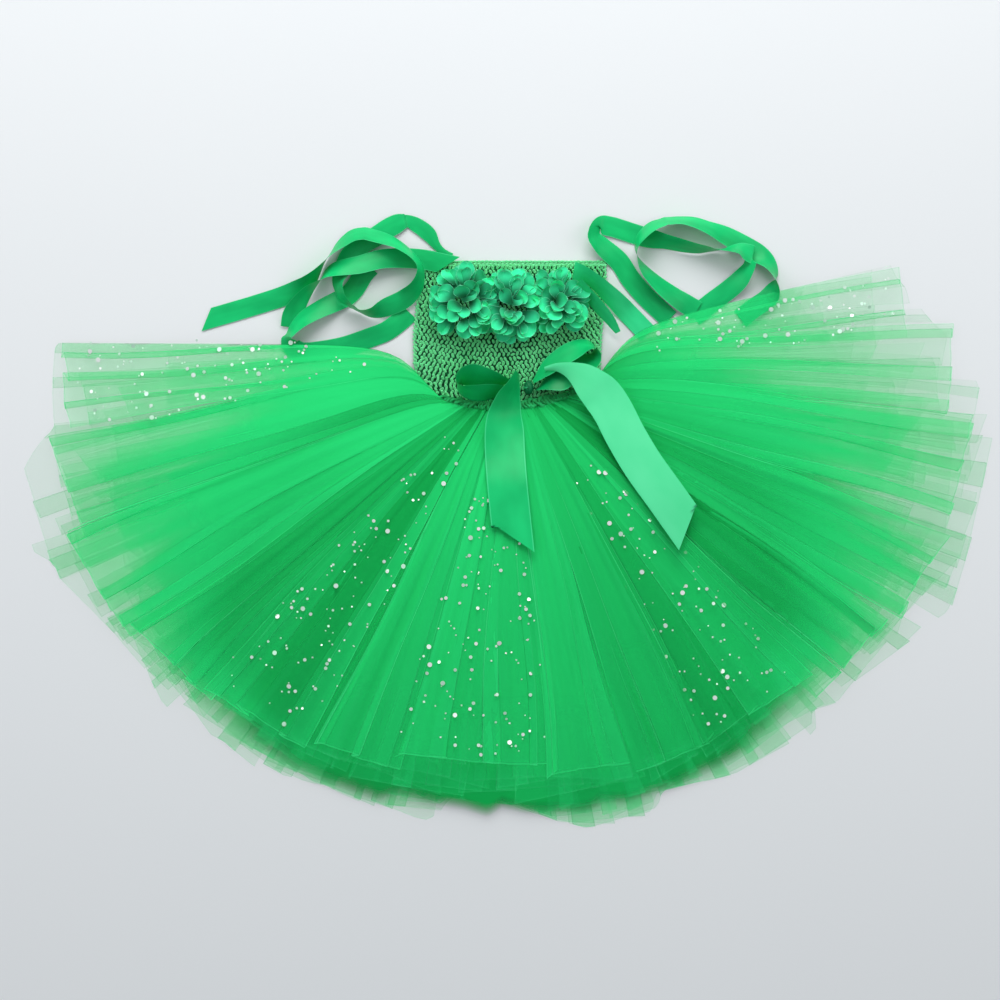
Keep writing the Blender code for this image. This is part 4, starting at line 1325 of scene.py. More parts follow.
    def strip_patch(self, strip: StripRow, dice: np.random.Generator) -> Patch:
        """Works out the grid of a strip that shows."""
        first = strip.first + (0.0 if strip.name == "tulle_end_left" else dice.uniform(*self.gaps))
        last = strip.last - (0.0 if strip.name == "tulle_end_right" else dice.uniform(*self.gaps))
        count = max(2, round((last - first) / self.fold_turn))
        folds = self.knife_pleats(first, last, count, dice)
        middle = 0.5 * (first + last)
        scallops = np.abs(np.sin(1.3 * folds.turn + dice.uniform(0.0, 3.0)))
        start = FAN.start(folds.turn) - 1.0 - self.scallop * scallops
        hem = strip.reach / np.cos(np.radians(folds.turn - middle)) + self.ragged * folds.length
        hem = hem + np.cumsum(dice.uniform(-0.5, 0.5, len(hem)))
        steps = np.append(np.linspace(0.0, 0.9965, self.rows) ** self.row_bend, 1.0)
        reach = grid_between(start, hem, steps)
        turn = self.lay(folds.turn, reach, dice)
        z = FAN.strip_height(turn, reach, strip.layer) + 0.5 * FAN.wall
        z = z - self.pleat_drop * folds.tuck * smooth_step(reach / 60.0)
        waves = np.sin(self.ripple_waves * turn + dice.uniform(*ANY_PHASE))
        z = z + self.ripple * smooth_step(reach / 150.0) * waves
        ply = table_value(COVER_ROWS, "ply", middle)
        return self.net_patch(folds, ply, z, turn, reach, hem, dice)

    def leaf_patch(self, layer: int, first: float, dice: np.random.Generator) -> Patch:
        """Works out the grid of one hidden strip, whose end is square and ragged.

        Args:
            layer: Its layer, 0 for the lowest.
            first: The turn at which it begins.
            dice: Random numbers.

        Returns:
            The grid.
        """
        last = first + self.leaf_turn * dice.uniform(*self.leaf_widths)
        front = self.front[0] < first < self.front[1]
        count = int(dice.integers(1, 3) if front else dice.integers(2, 5))
        folds = self.knife_pleats(first, last, count, dice)
        middle = float(np.clip(0.5 * (first + last), FAN.first + 1.0, FAN.last - 2.0))
        from_middle = folds.turn - middle
        outline = folds.turn if layer < self.outline_layers else middle
        longest = float(np.max(table_value(HEM_ROWS, "reach", outline)))
        spread = table_value(COVER_ROWS, "spread", middle) * longest
        up = layer / (self.layers - 1)
        shorter = spread * (0.75 * up + 0.25 * dice.uniform()) + 4.0
        slant = dice.uniform(-self.leaf_slant, self.leaf_slant) * (1.0 if front else self.side_slant)
        hem = (longest - shorter) / np.cos(np.radians(from_middle))
        hem = hem + slant * from_middle + self.ragged * folds.length
        hem = np.minimum(hem, table_value(HEM_ROWS, "reach", folds.turn) + 3.0)
        steps = np.append(np.linspace(0.0, 0.996, self.leaf_rows), 1.0)
        reach = grid_between(FAN.start(folds.turn) + 1.0, hem, steps)
        turn = self.lay(folds.turn, reach, dice)
        top = FAN.height(turn, reach)
        share = (layer + 0.5 + 0.25 * dice.uniform()) / self.layers
        grow = smooth_step(reach / 220.0)
        phase = dice.uniform(*ANY_PHASE, 2)
        wave = np.sin(1.6 * turn + phase[0] + 0.5 * np.sin(reach / 60.0 + phase[1]))
        z = share * top + self.layer_lift + (0.3 + 0.03 * top) * grow * (1.0 + wave)
        z = np.maximum(z - 0.5 * folds.tuck * grow, self.lowest)
        ply = self.leaf_share * table_value(COVER_ROWS, "ply", middle)
        return self.net_patch(folds, ply, z, turn, reach, hem, dice)

    def make_net(
        self, name: str, patches: Sequence[Patch], finish: TulleFinish, node: str
    ) -> bpy.types.Object:
        """Makes a piece of net, which is too sheer to cast a shadow of its own.

        Args:
            name: The piece's name.
            patches: Its grids.
            finish: Its look.
            node: The solid that it replaces.

        Returns:
            The piece.
        """
        piece = make_cloth(name, patches)
        hand_over(piece, finish, [node])
        piece.visible_shadow = False
        return piece

    def build_strips(self) -> dict[str, bpy.types.Object]:
        """Makes the strips that show, each in place of its solid.

        Returns:
            The pieces by name.
        """
        dice = np.random.default_rng(self.seed)
        made = {}
        for strip in STRIP_ROWS:
            patch = self.strip_patch(strip, dice)
            made[strip.name] = self.make_net(f"{strip.name}_net", [patch], TulleFinish(), strip.name)
        return made

    def build_layers(self) -> list[bpy.types.Object]:
        """Makes the layers below the strips, a few to a piece, from the lowest up.

        Returns:
            The pieces.
        """
        dice = np.random.default_rng(self.seed + 1)
        finish = TulleFinish(fold=self.leaf_fold)
        made = []
        for lowest in range(0, self.layers, self.layers_a_piece):
            patches = []
            for layer in range(lowest, min(lowest + self.layers_a_piece, self.layers)):
                inset = self.end_turn * (0.618 * layer % 1.0)
                first = FAN.first - 1.0 + inset
                while first < FAN.last - 0.35 * self.leaf_turn - inset:
                    patches.append(self.leaf_patch(layer, first, dice))
                    first += 0.8 * self.leaf_turn * dice.uniform(0.85, 1.15)
            name = f"tulle_layers_{len(made) + 1}"
            made.append(self.make_net(name, patches, finish, "skirt_core"))
        return made

    def shade_bands(self, turn: np.ndarray, reach: np.ndarray) -> np.ndarray:
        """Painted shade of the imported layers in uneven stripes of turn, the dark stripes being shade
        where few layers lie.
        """
        dice = np.random.default_rng(self.seed + 4)
        stops, tones = [FAN.first - 20.0], [0.5]
        while stops[-1] < FAN.last + 20.0:
            stops.append(stops[-1] + dice.uniform(*self.band_turns))
            dark = dice.uniform() < self.dark_share
            tones.append(dice.uniform(*(self.dark_tones if dark else self.light_tones)))
        edges = np.repeat(stops, 2)[1:-1] + np.tile([self.band_edge, -self.band_edge], len(stops) - 1)
        wander = 1.1 * np.sin(reach / 95.0 + 0.11 * turn) * smooth_step(reach / 120.0)
        return np.interp(turn + wander, edges, np.repeat(tones[:-1], 2))

    def build_base(self) -> bpy.types.Object:
        """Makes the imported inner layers, which fade towards the hem."""
        first, last = FAN.first + self.base_ends[0], FAN.last - self.base_ends[1]
        columns = np.linspace(first, last, self.base_columns)
        steps = np.linspace(0.0, 1.0, self.base_rows)
        sides = (-self.hem_blur, self.hem_blur)
        hem = 0.5 * sum(table_value(HEM_ROWS, "reach", columns + side) for side in sides)
        hem = np.minimum(hem, self.base_reach)
        far = hem * table_value(COVER_ROWS, "sheer", columns)
        reach = grid_between(FAN.start(columns) - self.under_waist, far, steps)
        turn = np.broadcast_to(columns, reach.shape)
        z = 0.55 * FAN.height(turn, reach) + 0.2
        solid = hem * table_value(COVER_ROWS, "solid", columns)
        cover = smooth_step(1.0 - (reach - solid) / (far - solid))
        left, right = self.end_fades
        side = smooth_step((columns - first) / left) * smooth_step((last - columns) / right)
        front = smooth_step((self.front_half - np.abs(turn - self.middle_turn)) / self.front_fade)
        # Painted shade near the front of the hem, below the strips
        shade = 1.0 - self.hem_shade * front * smooth_step((reach / hem - 0.82) / 0.12)
        marks = {Mark.COVER: cover * side, Mark.TONE_AND_SHADE: self.shade_bands(turn, reach) * shade}
        patch = Patch(FAN.points(turn, reach, z), grid_uv(*reach.shape), marks)
        piece = make_cloth("tulle_inner", [patch])
        hand_over(piece, BaseFinish(), ["skirt_core"])
        return piece

    def knot_form(self) -> tuple[np.ndarray, np.ndarray, np.ndarray]:
        """Models one knot, a squeezed and tipped ring.

        Returns:
            Points, faces and UV places.
        """
        bpy.ops.object.select_all(action="DESELECT")
        bpy.ops.mesh.primitive_torus_add(
            major_segments=14,
            minor_segments=7,
            major_radius=self.ring_radius * MM,
            minor_radius=self.loop_radius * MM,
        )
        knot = bpy.context.object
        middle = (0.0, 0.0, 0.0)
        bpy.ops.object.mode_set(mode="EDIT")
        bpy.ops.transform.resize(value=(1.25, 0.8, 1.0), center_override=middle)
        bpy.ops.transform.rotate(value=math.radians(28.0), orient_axis="X", center_override=middle)
        bpy.ops.object.mode_set(mode="OBJECT")
        points = np.array([vert.co for vert in knot.data.vertices]) / MM
        faces = np.array([list(face.vertices) for face in knot.data.polygons])
        bpy.data.objects.remove(knot, do_unlink=True)
        around = np.arctan2(points[:, 1], points[:, 0]) / math.tau + 0.5
        return points, faces, np.stack([around, 0.5 + points[:, 2] / 8.0], axis=-1)

    def build_knots(self) -> bpy.types.Object:
        """Sets a copy of the knot at each of the strips along the waist."""
        form = self.knot_form()
        dice = np.random.default_rng(self.seed + 2)
        first, last = self.knot_turns
        places = []
        for step in range(self.knots):
            turn = first + step * (last - first) / (self.knots - 1)
            x, y = FAN.waist(turn)
            angle = math.radians(turn)
            lean = turn_matrix(UP, angle + dice.uniform(-self.knot_sway, self.knot_sway))
            tip = turn_matrix(ACROSS, dice.uniform(-self.knot_sway, self.knot_sway))
            size = dice.uniform(*self.knot_sizes)
            inset = self.knot_inset + dice.uniform(*self.knot_strays)
            centre = (x - inset * math.cos(angle), y - inset * math.sin(angle), self.knot_height)
            places.append(place_matrix(lean @ tip * size, centre))
        piece = join_copies("tulle_knot_loops", form, places)
        hand_over(piece, KnotFinish(), ["tulle_knots"])
        return piece

    def build_sequins(self) -> dict[str, bpy.types.Object]:
        """Strews foil discs over the strips that carry them.

        Returns:
            A piece for each such strip, by the strip's name.
        """
        dice = np.random.default_rng(self.seed + 3)
        angles = np.linspace(0.0, math.tau, self.sequin_corners, endpoint=False)
        disc = np.stack([np.cos(angles), np.sin(angles), np.zeros(len(angles))], axis=-1)
        face = np.arange(len(angles))[None]
        rows = {strip.name: strip for strip in STRIP_ROWS}
        made = {}
        for band in SEQUINS:
            strip = rows[band.strip]
            places = []
            looks = []
            for _ in range(band.count):
                turn = dice.uniform(strip.first + 1.0, strip.last - 1.0)
                reach = band.near + (band.far - band.near) * dice.uniform() ** 0.8
                radius = dice.choice(self.sequin_radii, p=self.sequin_shares)
                x, y = FAN.place(turn, reach)
                z = FAN.strip_height(np.array(turn), np.array(reach), strip.layer)
                axis = (dice.normal(), dice.normal(), 0.01)
                tip = turn_matrix(axis, dice.uniform(0.0, self.sequin_tip))
                centre = (x, y, float(z) + 0.5 * FAN.wall + 0.5 + 0.3 * radius)
                places.append(place_matrix(tip * radius, centre))
                looks.append((dice.uniform(), dice.uniform()))
            form = (disc, face, np.array(looks)[:, None])
            made[band.strip] = join_copies(f"{band.strip}_sequins", form, places)
            hand_over(made[band.strip], SequinFinish())
        return made

    def build(self) -> None:
        """Makes the whole skirt."""
        strips = self.build_strips()
        knots = self.build_knots()
        layers = self.build_layers()
        base = self.build_base()
        sequins = self.build_sequins()
        for name, piece in strips.items():
            extra = [sequins[name]] if name in sequins else []
        for number, piece in enumerate(layers):
            below = layers[number - 1].name if number else "floor"


@dataclass
class CrochetTop:
    """The crochet tube: a shaded ground, its stitches and its bound edges.

    Angles are in radians.
    """

    girth: float = 0.374
    top: float = 134.0
    back_rise: float = 3.0
    waist_drop: float = 1.2
    overhang: float = 6.0
    wall: float = 2.7
    gap: float = 0.4
    across: int = 42
    up: int = 33
    ground_rows: int = 34
    edge_stitches: int = 46
    side_stitches: int = 32
    # How stitches lie
    jitter: float = 0.12
    lean: float = 0.45
    lean_spread: float = 0.28
    sway: float = 0.2
    sizes: tuple = (0.9, 1.1)
    edge_lean: float = 1.35
    edge_form: tuple = (1.0, 1.3, 0.8)
    side_turn: float = 1.3
    # One stitch
    yarn: float = 1.0
    loop_half: tuple = (0.62, 1.95)  # across, along
    loop_steps: int = 9
    yarn_corners: int = 5
    squareness: int = 14
    seed: int = 21

    def spot(self, across: np.ndarray, up: np.ndarray, rise: float = 0.0) -> np.ndarray:
        """The place in plan of a share across and a share up the flat tube.

        Args:
            across: Share from the left edge to the right one.
            up: Share from the waist to the neck.
            rise: How much further up the neck edge is.

        Returns:
            X and Y, in the last axis.
        """
        low_left = FAN.waist_left[0] - self.overhang
        x = low_left + across * (FAN.waist_right[0] - low_left)
        span = FAN.waist_right[0] - FAN.waist_left[0]
        share = np.clip((x - FAN.waist_left[0]) / span, 0.0, 1.0)
        bottom = FAN.waist_at(share)[1] + self.waist_drop
        y = bottom + up * (self.top + rise - bottom)
        left = table_value(TUBE_OUTLINE, "left", y)
        right = table_value(TUBE_OUTLINE, "right", y)
        return np.stack([left + across * (right - left), y], axis=-1)

    def build_ground(self) -> bpy.types.Object:
        """Makes the flattened tube on which the stitches sit."""
        rows, columns = self.ground_rows, self.across
        middle = 0.5 * (2.0 * self.wall + self.gap)
        share = np.linspace(0.012, 0.988, columns)
        edge = middle * (1.0 - np.abs(2.0 * share - 1.0) ** self.squareness)
        grid = []
        for row in range(rows):
            up = np.full(columns, row / (rows - 1))
            back = self.spot(share, up, self.back_rise)
            front = self.spot(share[::-1], up)
            under = np.concatenate([back, (middle - edge * 0.9)[:, None]], axis=1)
            over = np.concatenate([front, (middle + edge * 0.45)[:, None]], axis=1)
            grid.append(np.concatenate([under, over]))
        patch = Patch(np.array(grid), grid_uv(rows, 2 * columns))
        piece = make_cloth("crochet_ground", [patch], ring=True)
        hand_over(piece, GroundFinish(), ["crochet_top"])
        return piece

    def loop_form(self) -> tuple[np.ndarray, np.ndarray, np.ndarray]:
        """Works out one stitch, a teardrop of yarn whose head lies over the next one's foot.

        Returns:
            Points, faces and UV places.
        """
        steps, corners = self.loop_steps, self.yarn_corners
        around = np.linspace(0.0, math.tau, steps, endpoint=False)
        x = self.loop_half[0] * np.sin(around) * (1.0 + 0.25 * np.cos(around))
        y = self.loop_half[1] * np.cos(around)
        z = 0.35 + 0.75 * np.cos(around) + 0.2 * np.cos(2.0 * around)
        path = np.stack([x, y, z], axis=-1)
        ahead = np.roll(path, -1, axis=0) - np.roll(path, 1, axis=0)
        ahead /= np.linalg.norm(ahead, axis=1)[:, None]
        side = np.cross(ahead, UP)
        side /= np.linalg.norm(side, axis=1)[:, None]
        rise = np.cross(side, ahead)
        turns = np.linspace(0.0, math.tau, corners, endpoint=False)
        ring = np.cos(turns)[:, None] * side[:, None] + np.sin(turns)[:, None] * rise[:, None]
        points = (path[:, None] + self.yarn * ring).reshape(-1, 3)
        numbers = np.arange(steps * corners).reshape(steps, corners)
        ahead_of = np.roll(numbers, -1, axis=0)
        quads = [numbers, np.roll(numbers, -1, axis=1), np.roll(ahead_of, -1, axis=1), ahead_of]
        faces = np.stack(quads, axis=-1).reshape(-1, 4)[:, ::-1]
        along = np.repeat(around / math.tau, corners)
        # The second UV place is the height on the loop, from which the yarn's painted light and shade
        # are read
        high = np.clip((points[:, 2] + 1.1) / 2.9, 0.0, 1.0)
        return points, faces, np.stack([along, high], axis=-1)

    def swing(self, dice: np.random.Generator) -> float:
        """A small random angle."""
        return dice.uniform(-self.sway, self.sway)

    def make_stitches(self, name: str, places: Sequence[np.ndarray]) -> bpy.types.Object:
        """Makes a piece of many stitches, one at each place."""
        piece = join_copies(name, self.loop_form(), places)
        hand_over(piece, YarnFinish())
        return piece

    def build_stitches(self) -> bpy.types.Object:
        """Sets a stitch at each place of the front, in rows that are offset by half a stitch."""
        dice = np.random.default_rng(self.seed)
        places = []
        for row in range(self.up):
            odd = row % 2
            for column in range(self.across):
                spot = column + 0.3 + 0.5 * odd + dice.uniform(-self.jitter, self.jitter)
                share = spot / (self.across + 0.2)
                up = (row + 0.5 + dice.uniform(-self.jitter, self.jitter)) / self.up
                x, y = self.spot(np.array(share), np.array(up))
                middle = 1.0 - abs(2.0 * share - 1.0) ** self.squareness
                lean = dice.normal(0.0, self.lean_spread) + (self.lean if odd else -self.lean)
                turned = turn_matrix(UP, lean) @ turn_matrix(ACROSS, self.swing(dice))
                size = dice.uniform(*self.sizes)
                places.append(place_matrix(turned * size, (x, y, 2.5 + 1.6 * middle)))
        return self.make_stitches("crochet_stitches", places)

    def build_edges(self) -> bpy.types.Object:
        """Sets the wider stitches that bind the neck edge, front and back, and the sides."""
        dice = np.random.default_rng(self.seed + 1)
        places = []
        for rise, z in ((0.4, 4.2), (self.back_rise + 0.6, 1.6)):
            for column in range(self.edge_stitches):
                across = np.array((column + 0.5) / self.edge_stitches)
                x, y = self.spot(across, np.array(1.0), rise)
                lean = turn_matrix(UP, self.edge_lean + self.swing(dice))
                places.append(place_matrix(lean @ np.diag(self.edge_form), (x, y, z)))
        for side, turn in ((0.004, -self.side_turn), (0.996, self.side_turn)):
            for row in range(self.side_stitches):
                x, y = self.spot(np.array(side), np.array((row + 0.5) / self.side_stitches))
                lean = turn_matrix(UP, self.swing(dice))
                tip = turn_matrix((0.0, 1.0, 0.0), turn)
                places.append(place_matrix(lean @ tip, (x, y, 2.8)))
        return self.make_stitches("crochet_edging", places)

    def build(self) -> None:
        """Makes the whole top."""
        ground = self.build_ground()
        extras = [self.build_stitches(), self.build_edges()]


@dataclass
class Ribbon:
    """A satin ribbon that follows the rows of its stretches from one cut end to the other."""

    name: str
    stretches: tuple
    finish: SatinFinish = SatinFinish()
    columns: int = 9
    step: float = 3.0
    crown: float = 0.45
    slant_rows: float = 4.0

    def route(self, rows: np.ndarray) -> np.ndarray:
        """Joins the rows of a stretch by one smooth curve, a few millimetres at a time."""
        padded = np.concatenate([[2 * rows[0] - rows[1]], rows, [2 * rows[-1] - rows[-2]]])
        route = [rows[0]]
        for k in range(1, len(padded) - 2):
            before, start, end, after = padded[k - 1 : k + 3]
            count = max(1, round(float(np.linalg.norm((end - start)[:3])) / self.step))
            for part in range(1, count + 1):
                t = part / count
                first = 2 * start + (end - before) * t
                second = (2 * before - 5 * start + 4 * end - after) * t**2
                third = (3 * start - before - 3 * end + after) * t**3
                route.append(0.5 * (first + second + third))
        return np.array(route)

    def stretch(self, rows: Sequence[RibbonRow], slants: tuple) -> np.ndarray:
        """Works out the grid of one stretch.

        Args:
            rows: Its rows.
            slants: How far its two ends slant from square, in degrees.

        Returns:
            Points, row by row along the ribbon.
        """
        route = self.route(np.array(rows))
        places = route[:, :3]
        ahead = np.gradient(places, axis=0)
        share = np.linspace(-1.0, 1.0, self.columns)
        grid = []
        for k, place in enumerate(places):
            along = ahead[k] / np.linalg.norm(ahead[k])
            level = np.cross(UP, along)
            level /= np.linalg.norm(level)
            tilt = math.radians(route[k, 3])
            across = math.cos(tilt) * level + math.sin(tilt) * np.cross(along, level)
            out = np.cross(along, across)
            nears = [max(0.0, 1.0 - off / self.slant_rows) for off in (k, len(places) - 1 - k)]
            slant = sum(near * math.tan(math.radians(end)) for near, end in zip(nears, slants))
            half = 0.5 * route[k, 4]
            skew = half * slant * share[:, None] * along
            bow = self.crown * (1.0 - share[:, None] ** 2) * out * math.copysign(1.0, out[2])
            grid.append(place + half * share[:, None] * across + skew + bow)
        return np.array(grid)

    def bridge(self, one: np.ndarray, other: np.ndarray) -> np.ndarray:
        """Works out the rows between two stretches, which leave one and enter the other smoothly.

        Args:
            one: The grid before the gap.
            other: The grid after it.

        Returns:
            The rows between them.
        """
        start, end = one[-1], other[0]
        leave = one[-1] - one[-2]
        enter = other[1] - other[0]
        gap = np.linalg.norm(end - start, axis=1)[:, None]
        leave = leave / np.linalg.norm(leave, axis=1)[:, None] * gap
        enter = enter / np.linalg.norm(enter, axis=1)[:, None] * gap
        count = max(3, round(float(gap.max()) / self.step))
        rows = []
        for part in range(1, count):
            t = part / count
            rows.append(
                (2 * t**3 - 3 * t**2 + 1) * start
                + (t**3 - 2 * t**2 + t) * leave
                + (3 * t**2 - 2 * t**3) * end
                + (t**3 - t**2) * enter
            )
        return np.array(rows)

    def build(self, lift: bool = False) -> bpy.types.Object:
        """Makes the ribbon in place of its solids.

        Args:
            lift: Whether its rows count from the top of the tulle.

        Returns:
            The piece.
        """
        grids = []
        for name in self.stretches:
            rows = RIBBON_ROWS[name]
            if lift:
                tops = [FAN.top(row.x, row.y, 0.5 * row.width) for row in rows]
                rows = [row._replace(z=row.z + top) for row, top in zip(rows, tops)]
            grid = self.stretch(rows, SLANTS.get(name, (0.0, 0.0)))
            grids += [self.bridge(grids[-1], grid), grid] if grids else [grid]
        whole = np.concatenate(grids)
        middle = whole[:, self.columns // 2]
        steps = np.linalg.norm(np.diff(middle, axis=0), axis=1)
        uv = grid_uv(len(whole), self.columns)
        uv[..., 1] = (np.concatenate([[0.0], np.cumsum(steps)]) * MM)[:, None]
        piece = make_cloth(self.name, [Patch(whole, uv)])
        hand_over(piece, self.finish, self.stretches)
        return piece


@dataclass
class Ribbons:
    """The shoulder ribbons, loose beside the top, and the bow at the waist."""

    strap_width: float = 0.02
    bow_width: float = 0.04
    knot_centre: tuple = (20.5, 10.5, 12.7)
    knot_size: tuple = (5.2, 7.0, 5.6)
    knot_crease: float = 0.35
    tail_crown: float = 0.8
    loop_crown: float = 0.3

    def straps(self) -> list[Ribbon]:
        """Names the shoulder ribbons and the stretches of each."""
        left = "strap_left_back"
        right = "strap_right_back"
        front = "strap_left_front"
        return [
            Ribbon("ribbon_left_front", (front,)),
            Ribbon("ribbon_left_front_tail", (f"{front}_loop_upper", f"{front}_loop_lower")),
            Ribbon("ribbon_left_back", (left, f"{left}_run", f"{left}_turn", f"{left}_tail")),
            Ribbon("ribbon_right_back", (right, f"{right}_run", f"{right}_return")),
            Ribbon("ribbon_right_back_tail", (f"{right}_loop", f"{right}_arch")),
            Ribbon("ribbon_right_front", ("strap_right_front",), PAINTED_LIGHT_SATIN),
            Ribbon("ribbon_right_front_tail", ("strap_right_front_tail",), PAINTED_LIGHT_SATIN),
        ]

    def build_knot(self) -> bpy.types.Object:
        """Models the bow's knot: a band wound tight round the middle."""
        bpy.ops.object.select_all(action="DESELECT")
        centre = tuple(value * MM for value in self.knot_centre)
        bpy.ops.mesh.primitive_uv_sphere_add(segments=28, ring_count=16, radius=MM, location=centre)
        knot = bpy.context.object
        knot.name = "bow_knot_band"
        knot.data.name = knot.name
        bpy.ops.object.transform_apply(location=True, rotation=False, scale=False)
        bpy.ops.object.mode_set(mode="EDIT")
        bpy.ops.mesh.select_all(action="SELECT")
        bpy.ops.transform.resize(value=self.knot_size, center_override=centre)
        bpy.ops.object.mode_set(mode="OBJECT")
        pole = knot.data.vertices[0].co.copy()
        for vert in knot.data.vertices:
            out = (vert.co - pole).normalized()
            side = vert.co.x - centre[0]
            crease = self.knot_crease * MM * math.sin(side / MM * 2.3 + 6.0 * out.y)
            vert.co.y += crease * out.y
            vert.co.z += crease
        bpy.ops.object.shade_smooth()
        knot.data.uv_layers[0].name = UV_NAME
        hand_over(knot, PAINTED_SHADE_KNOT_SATIN, ["bow_knot"])
        return knot

    def build(self) -> None:
        """Makes all the ribbons."""
        for ribbon in self.straps():
            ribbon.build()
        knot = self.build_knot()
        for name in BOW_RIBBONS:
            tail = name in BOW_TAILS
            crown = self.tail_crown if tail else self.loop_crown
            finish = BOW_FINISHES.get(name, SatinFinish())
            piece = Ribbon(f"{name}_satin", (name,), finish, crown=crown).build(lift=tail)
            extra = [knot] if name == "bow_loop_left" else []


@dataclass
class Flowers:
    """Three ruffled flowers, whose petals lie flat towards the neck and stand towards the hem.

    Angles are in degrees, apart from golden, stray and the two tilts, which are in radians.
    """

    base: float = 6.3
    petals: int = 44
    spread: tuple = (0.84, 0.98, 9.0)  # shares of the radius, height
    length: float = 20.5
    width: float = 17.5
    golden: float = 2.39996
    cut_width: float = 0.03
    stray: float = 0.8
    heart_tilt: float = 0.15
    rim_tilt: float = 1.35  # on top of the heart's
    heart_stand: float = 60.0
    rim_fall: float = 46.0
    neck_fall: float = 26.0
    stand_stray: float = 27.0
    sizes: tuple = (0.85, 1.15)
    ruffle: float = 0.7
    ruffles: float = 4.0
    lip: float = 1.2
    most_roll: float = 46.0
    overlap: float = 9.0
    rows: int = 8
    columns: int = 9
    seed: int = 31

    def outline(self, along: np.ndarray) -> np.ndarray:
        """The width of a petal from its foot to its bluntly pointed end, as a share."""
        foot = 0.34 + 0.66 * smooth_step(along / 0.6)
        end = np.clip((along - 0.58) / 0.42, 0.0, 1.0)
        return foot * np.clip(1.0 - end**2.0, 0.0, 1.0) ** 0.58

    def petal(self, place: FlowerPlace, number: int, dice: np.random.Generator) -> Patch:
        """Works out one cupped petal.

        Args:
            place: Its flower.
            number: Its number, 0 for the one at the heart.
            dice: Random numbers.

        Returns:
            The grid.
        """
        share = math.sqrt((number + 0.5) / self.petals)
        tilt = self.heart_tilt + self.rim_tilt * share
        around = number * self.golden + dice.uniform(-self.stray, self.stray)
        wide, tall, high = self.spread
        wide, tall = wide * place.radius, tall * place.radius
        out = np.array((math.cos(around), math.sin(around), 0.0))
        centre = np.array((wide * math.sin(tilt), tall * math.sin(tilt), high * math.cos(tilt)))
        centre = centre * np.array((out[0], out[1], 1.0))
        fall = np.array((*(0.9 * math.cos(tilt * 0.4) * out[:2]), -math.sin(tilt * 0.4)))
        fall /= np.linalg.norm(fall)
        side = np.cross(UP, out)
        stand = self.heart_stand - self.rim_fall * share - self.neck_fall * out[1]
        stand = math.radians(stand + dice.uniform(-self.stand_stray, self.stand_stray))
        steps = 1.0 - (1.0 - np.linspace(0.0, 1.0, self.rows)) ** 1.5
        along, across = np.meshgrid(steps, np.linspace(-1.0, 1.0, self.columns), indexing="ij")
        length = self.length * dice.uniform(*self.sizes) * (0.75 + 0.25 * share)
        width = self.width * dice.uniform(*self.sizes)
        rise = np.cross(fall, side)
        rise = rise * math.copysign(1.0, rise[2])
        slope = stand * (1.2 - 0.75 * along)
        stride = np.diff(along, axis=0, prepend=0.0) * length
        forth = np.cumsum(np.cos(slope) * stride, axis=0) - 0.55 * length
        up = np.cumsum(np.sin(slope) * stride, axis=0)
        cup = (0.10 + 0.22 * (1.0 - share)) * width * across**2 * np.sin(0.5 * math.pi * along)
        waves = self.ruffle * np.sin(across * self.ruffles + dice.uniform(*ANY_PHASE)) * along**2
        lift = cup + waves + self.lip * smooth_step((along - 0.75) / 0.25)
        forth = forth - np.sin(slope) * lift
        up = up + np.cos(slope) * lift
        sideways = across * self.outline(along) * 0.5 * width
        roll = math.radians(dice.uniform(-self.most_roll, self.most_roll))
        up = up + sideways * math.sin(roll)
        sideways = sideways * math.cos(roll)
        points = centre + forth[..., None] * fall + up[..., None] * rise + sideways[..., None] * side
        points = points + np.array((place.x, place.y, self.base + 1.0))
        floor = self.base + 0.25 + 0.8 * (1.0 - share)
        points[..., 2] = floor + np.logaddexp(0.0, (points[..., 2] - floor) * 1.2) / 1.2
        low, high = place.low_x - self.overlap, place.high_x + self.overlap
        points[..., 0] = np.clip(points[..., 0], low, high)
        tone = np.full(along.shape, dice.uniform())
        uv = np.stack([0.5 + 0.5 * across, along], axis=-1)
        return Patch(points, uv, {Mark.TONE_AND_SHADE: tone})

    def build(self) -> None:
        """Makes the flowers."""
        dice = np.random.default_rng(self.seed)
        for name, place in FLOWERS.items():
            patches = [self.petal(place, number, dice) for number in range(self.petals)]
            piece = make_cloth(f"flower_{name}_petals", patches)
            nodes = [f"flower_{name}_{part}" for part in ("outer", "inner", "heart")]
            hand_over(piece, ChiffonFinish(), nodes)


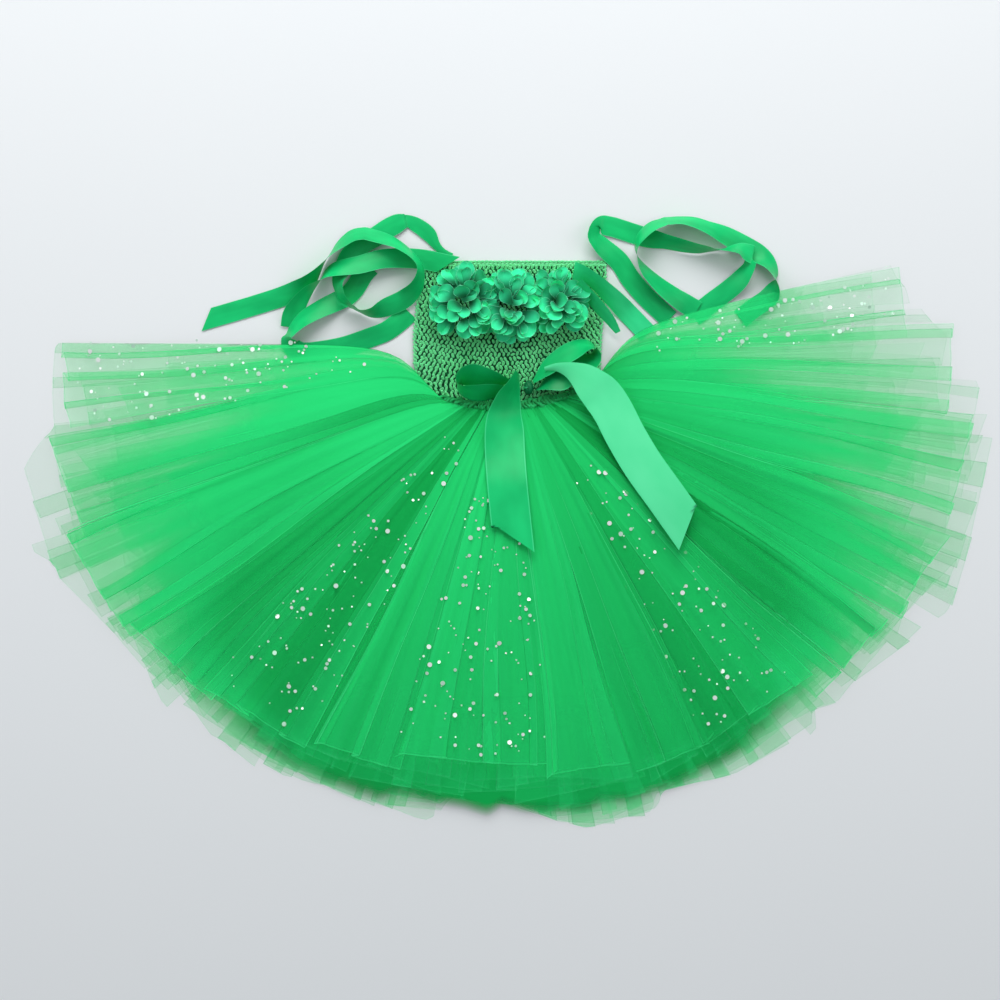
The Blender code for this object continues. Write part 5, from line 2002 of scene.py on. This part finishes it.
@dataclass
class Studio:
    """The floor, the soft lights and the camera over the dress."""

    floor_size: float = 8.0
    floor_height: float = -0.0004
    height: float = 2.24
    lens: float = 80.0
    sensor: float = 36.0
    clip_end: float = 20.0
    bounces: int = 24
    centre: tuple = (-0.008, -0.102)
    world: tuple = (0.80, 0.84, 0.88, 1.0)
    world_strength: float = 0.42

    def build_floor(self) -> None:
        """Lays the floor that the dress lies on."""
        bpy.ops.object.select_all(action="DESELECT")
        place = (0.0, 0.0, self.floor_height)
        bpy.ops.mesh.primitive_plane_add(size=self.floor_size, location=place)
        bpy.ops.object.transform_apply(location=True, rotation=False, scale=False)
        floor = bpy.context.object
        floor.name = "floor"
        floor.data.materials.append(FloorFinish().material("floor"))

    def build_lamps(self) -> None:
        """Hangs the soft lights."""
        for lamp in LAMPS:
            light = bpy.data.lights.new(lamp.name, "AREA")
            light.size = lamp.size
            light.energy = lamp.power
            holder = bpy.data.objects.new(lamp.name, light)
            holder.location = lamp.place
            aim = Vector(lamp.aim) - Vector(lamp.place)
            holder.rotation_euler = aim.to_track_quat("-Z", "Y").to_euler()
            bpy.context.scene.collection.objects.link(holder)

    def build_camera(self) -> None:
        """Sets the camera straight above, as in the photograph."""
        camera = bpy.data.cameras.new("camera")
        camera.lens = self.lens
        camera.sensor_width = self.sensor
        camera.clip_end = self.clip_end
        holder = bpy.data.objects.new("camera", camera)
        holder.location = (*self.centre, self.height)
        bpy.context.scene.collection.objects.link(holder)
        bpy.context.scene.camera = holder

    def build(self) -> None:
        """Sets up everything round the dress."""
        scene = bpy.context.scene
        world = bpy.data.worlds.new("studio")
        world.use_nodes = True
        sky = world.node_tree.nodes["Background"]
        sky.inputs["Color"].default_value = self.world
        sky.inputs["Strength"].default_value = self.world_strength
        scene.world = world
        scene.view_settings.view_transform = "Standard"
        scene.cycles.transparent_max_bounces = self.bounces
        self.build_floor()
        self.build_lamps()
        self.build_camera()


def main() -> None:
    """Builds the dress, piece by piece, and what stands round it."""
    logging.basicConfig(level=logging.INFO, format="%(name)s: %(message)s")
    Studio().build()
    CrochetTop().build()
    Skirt().build()
    Ribbons().build()
    Flowers().build()


if __name__ == "__main__":
    main()
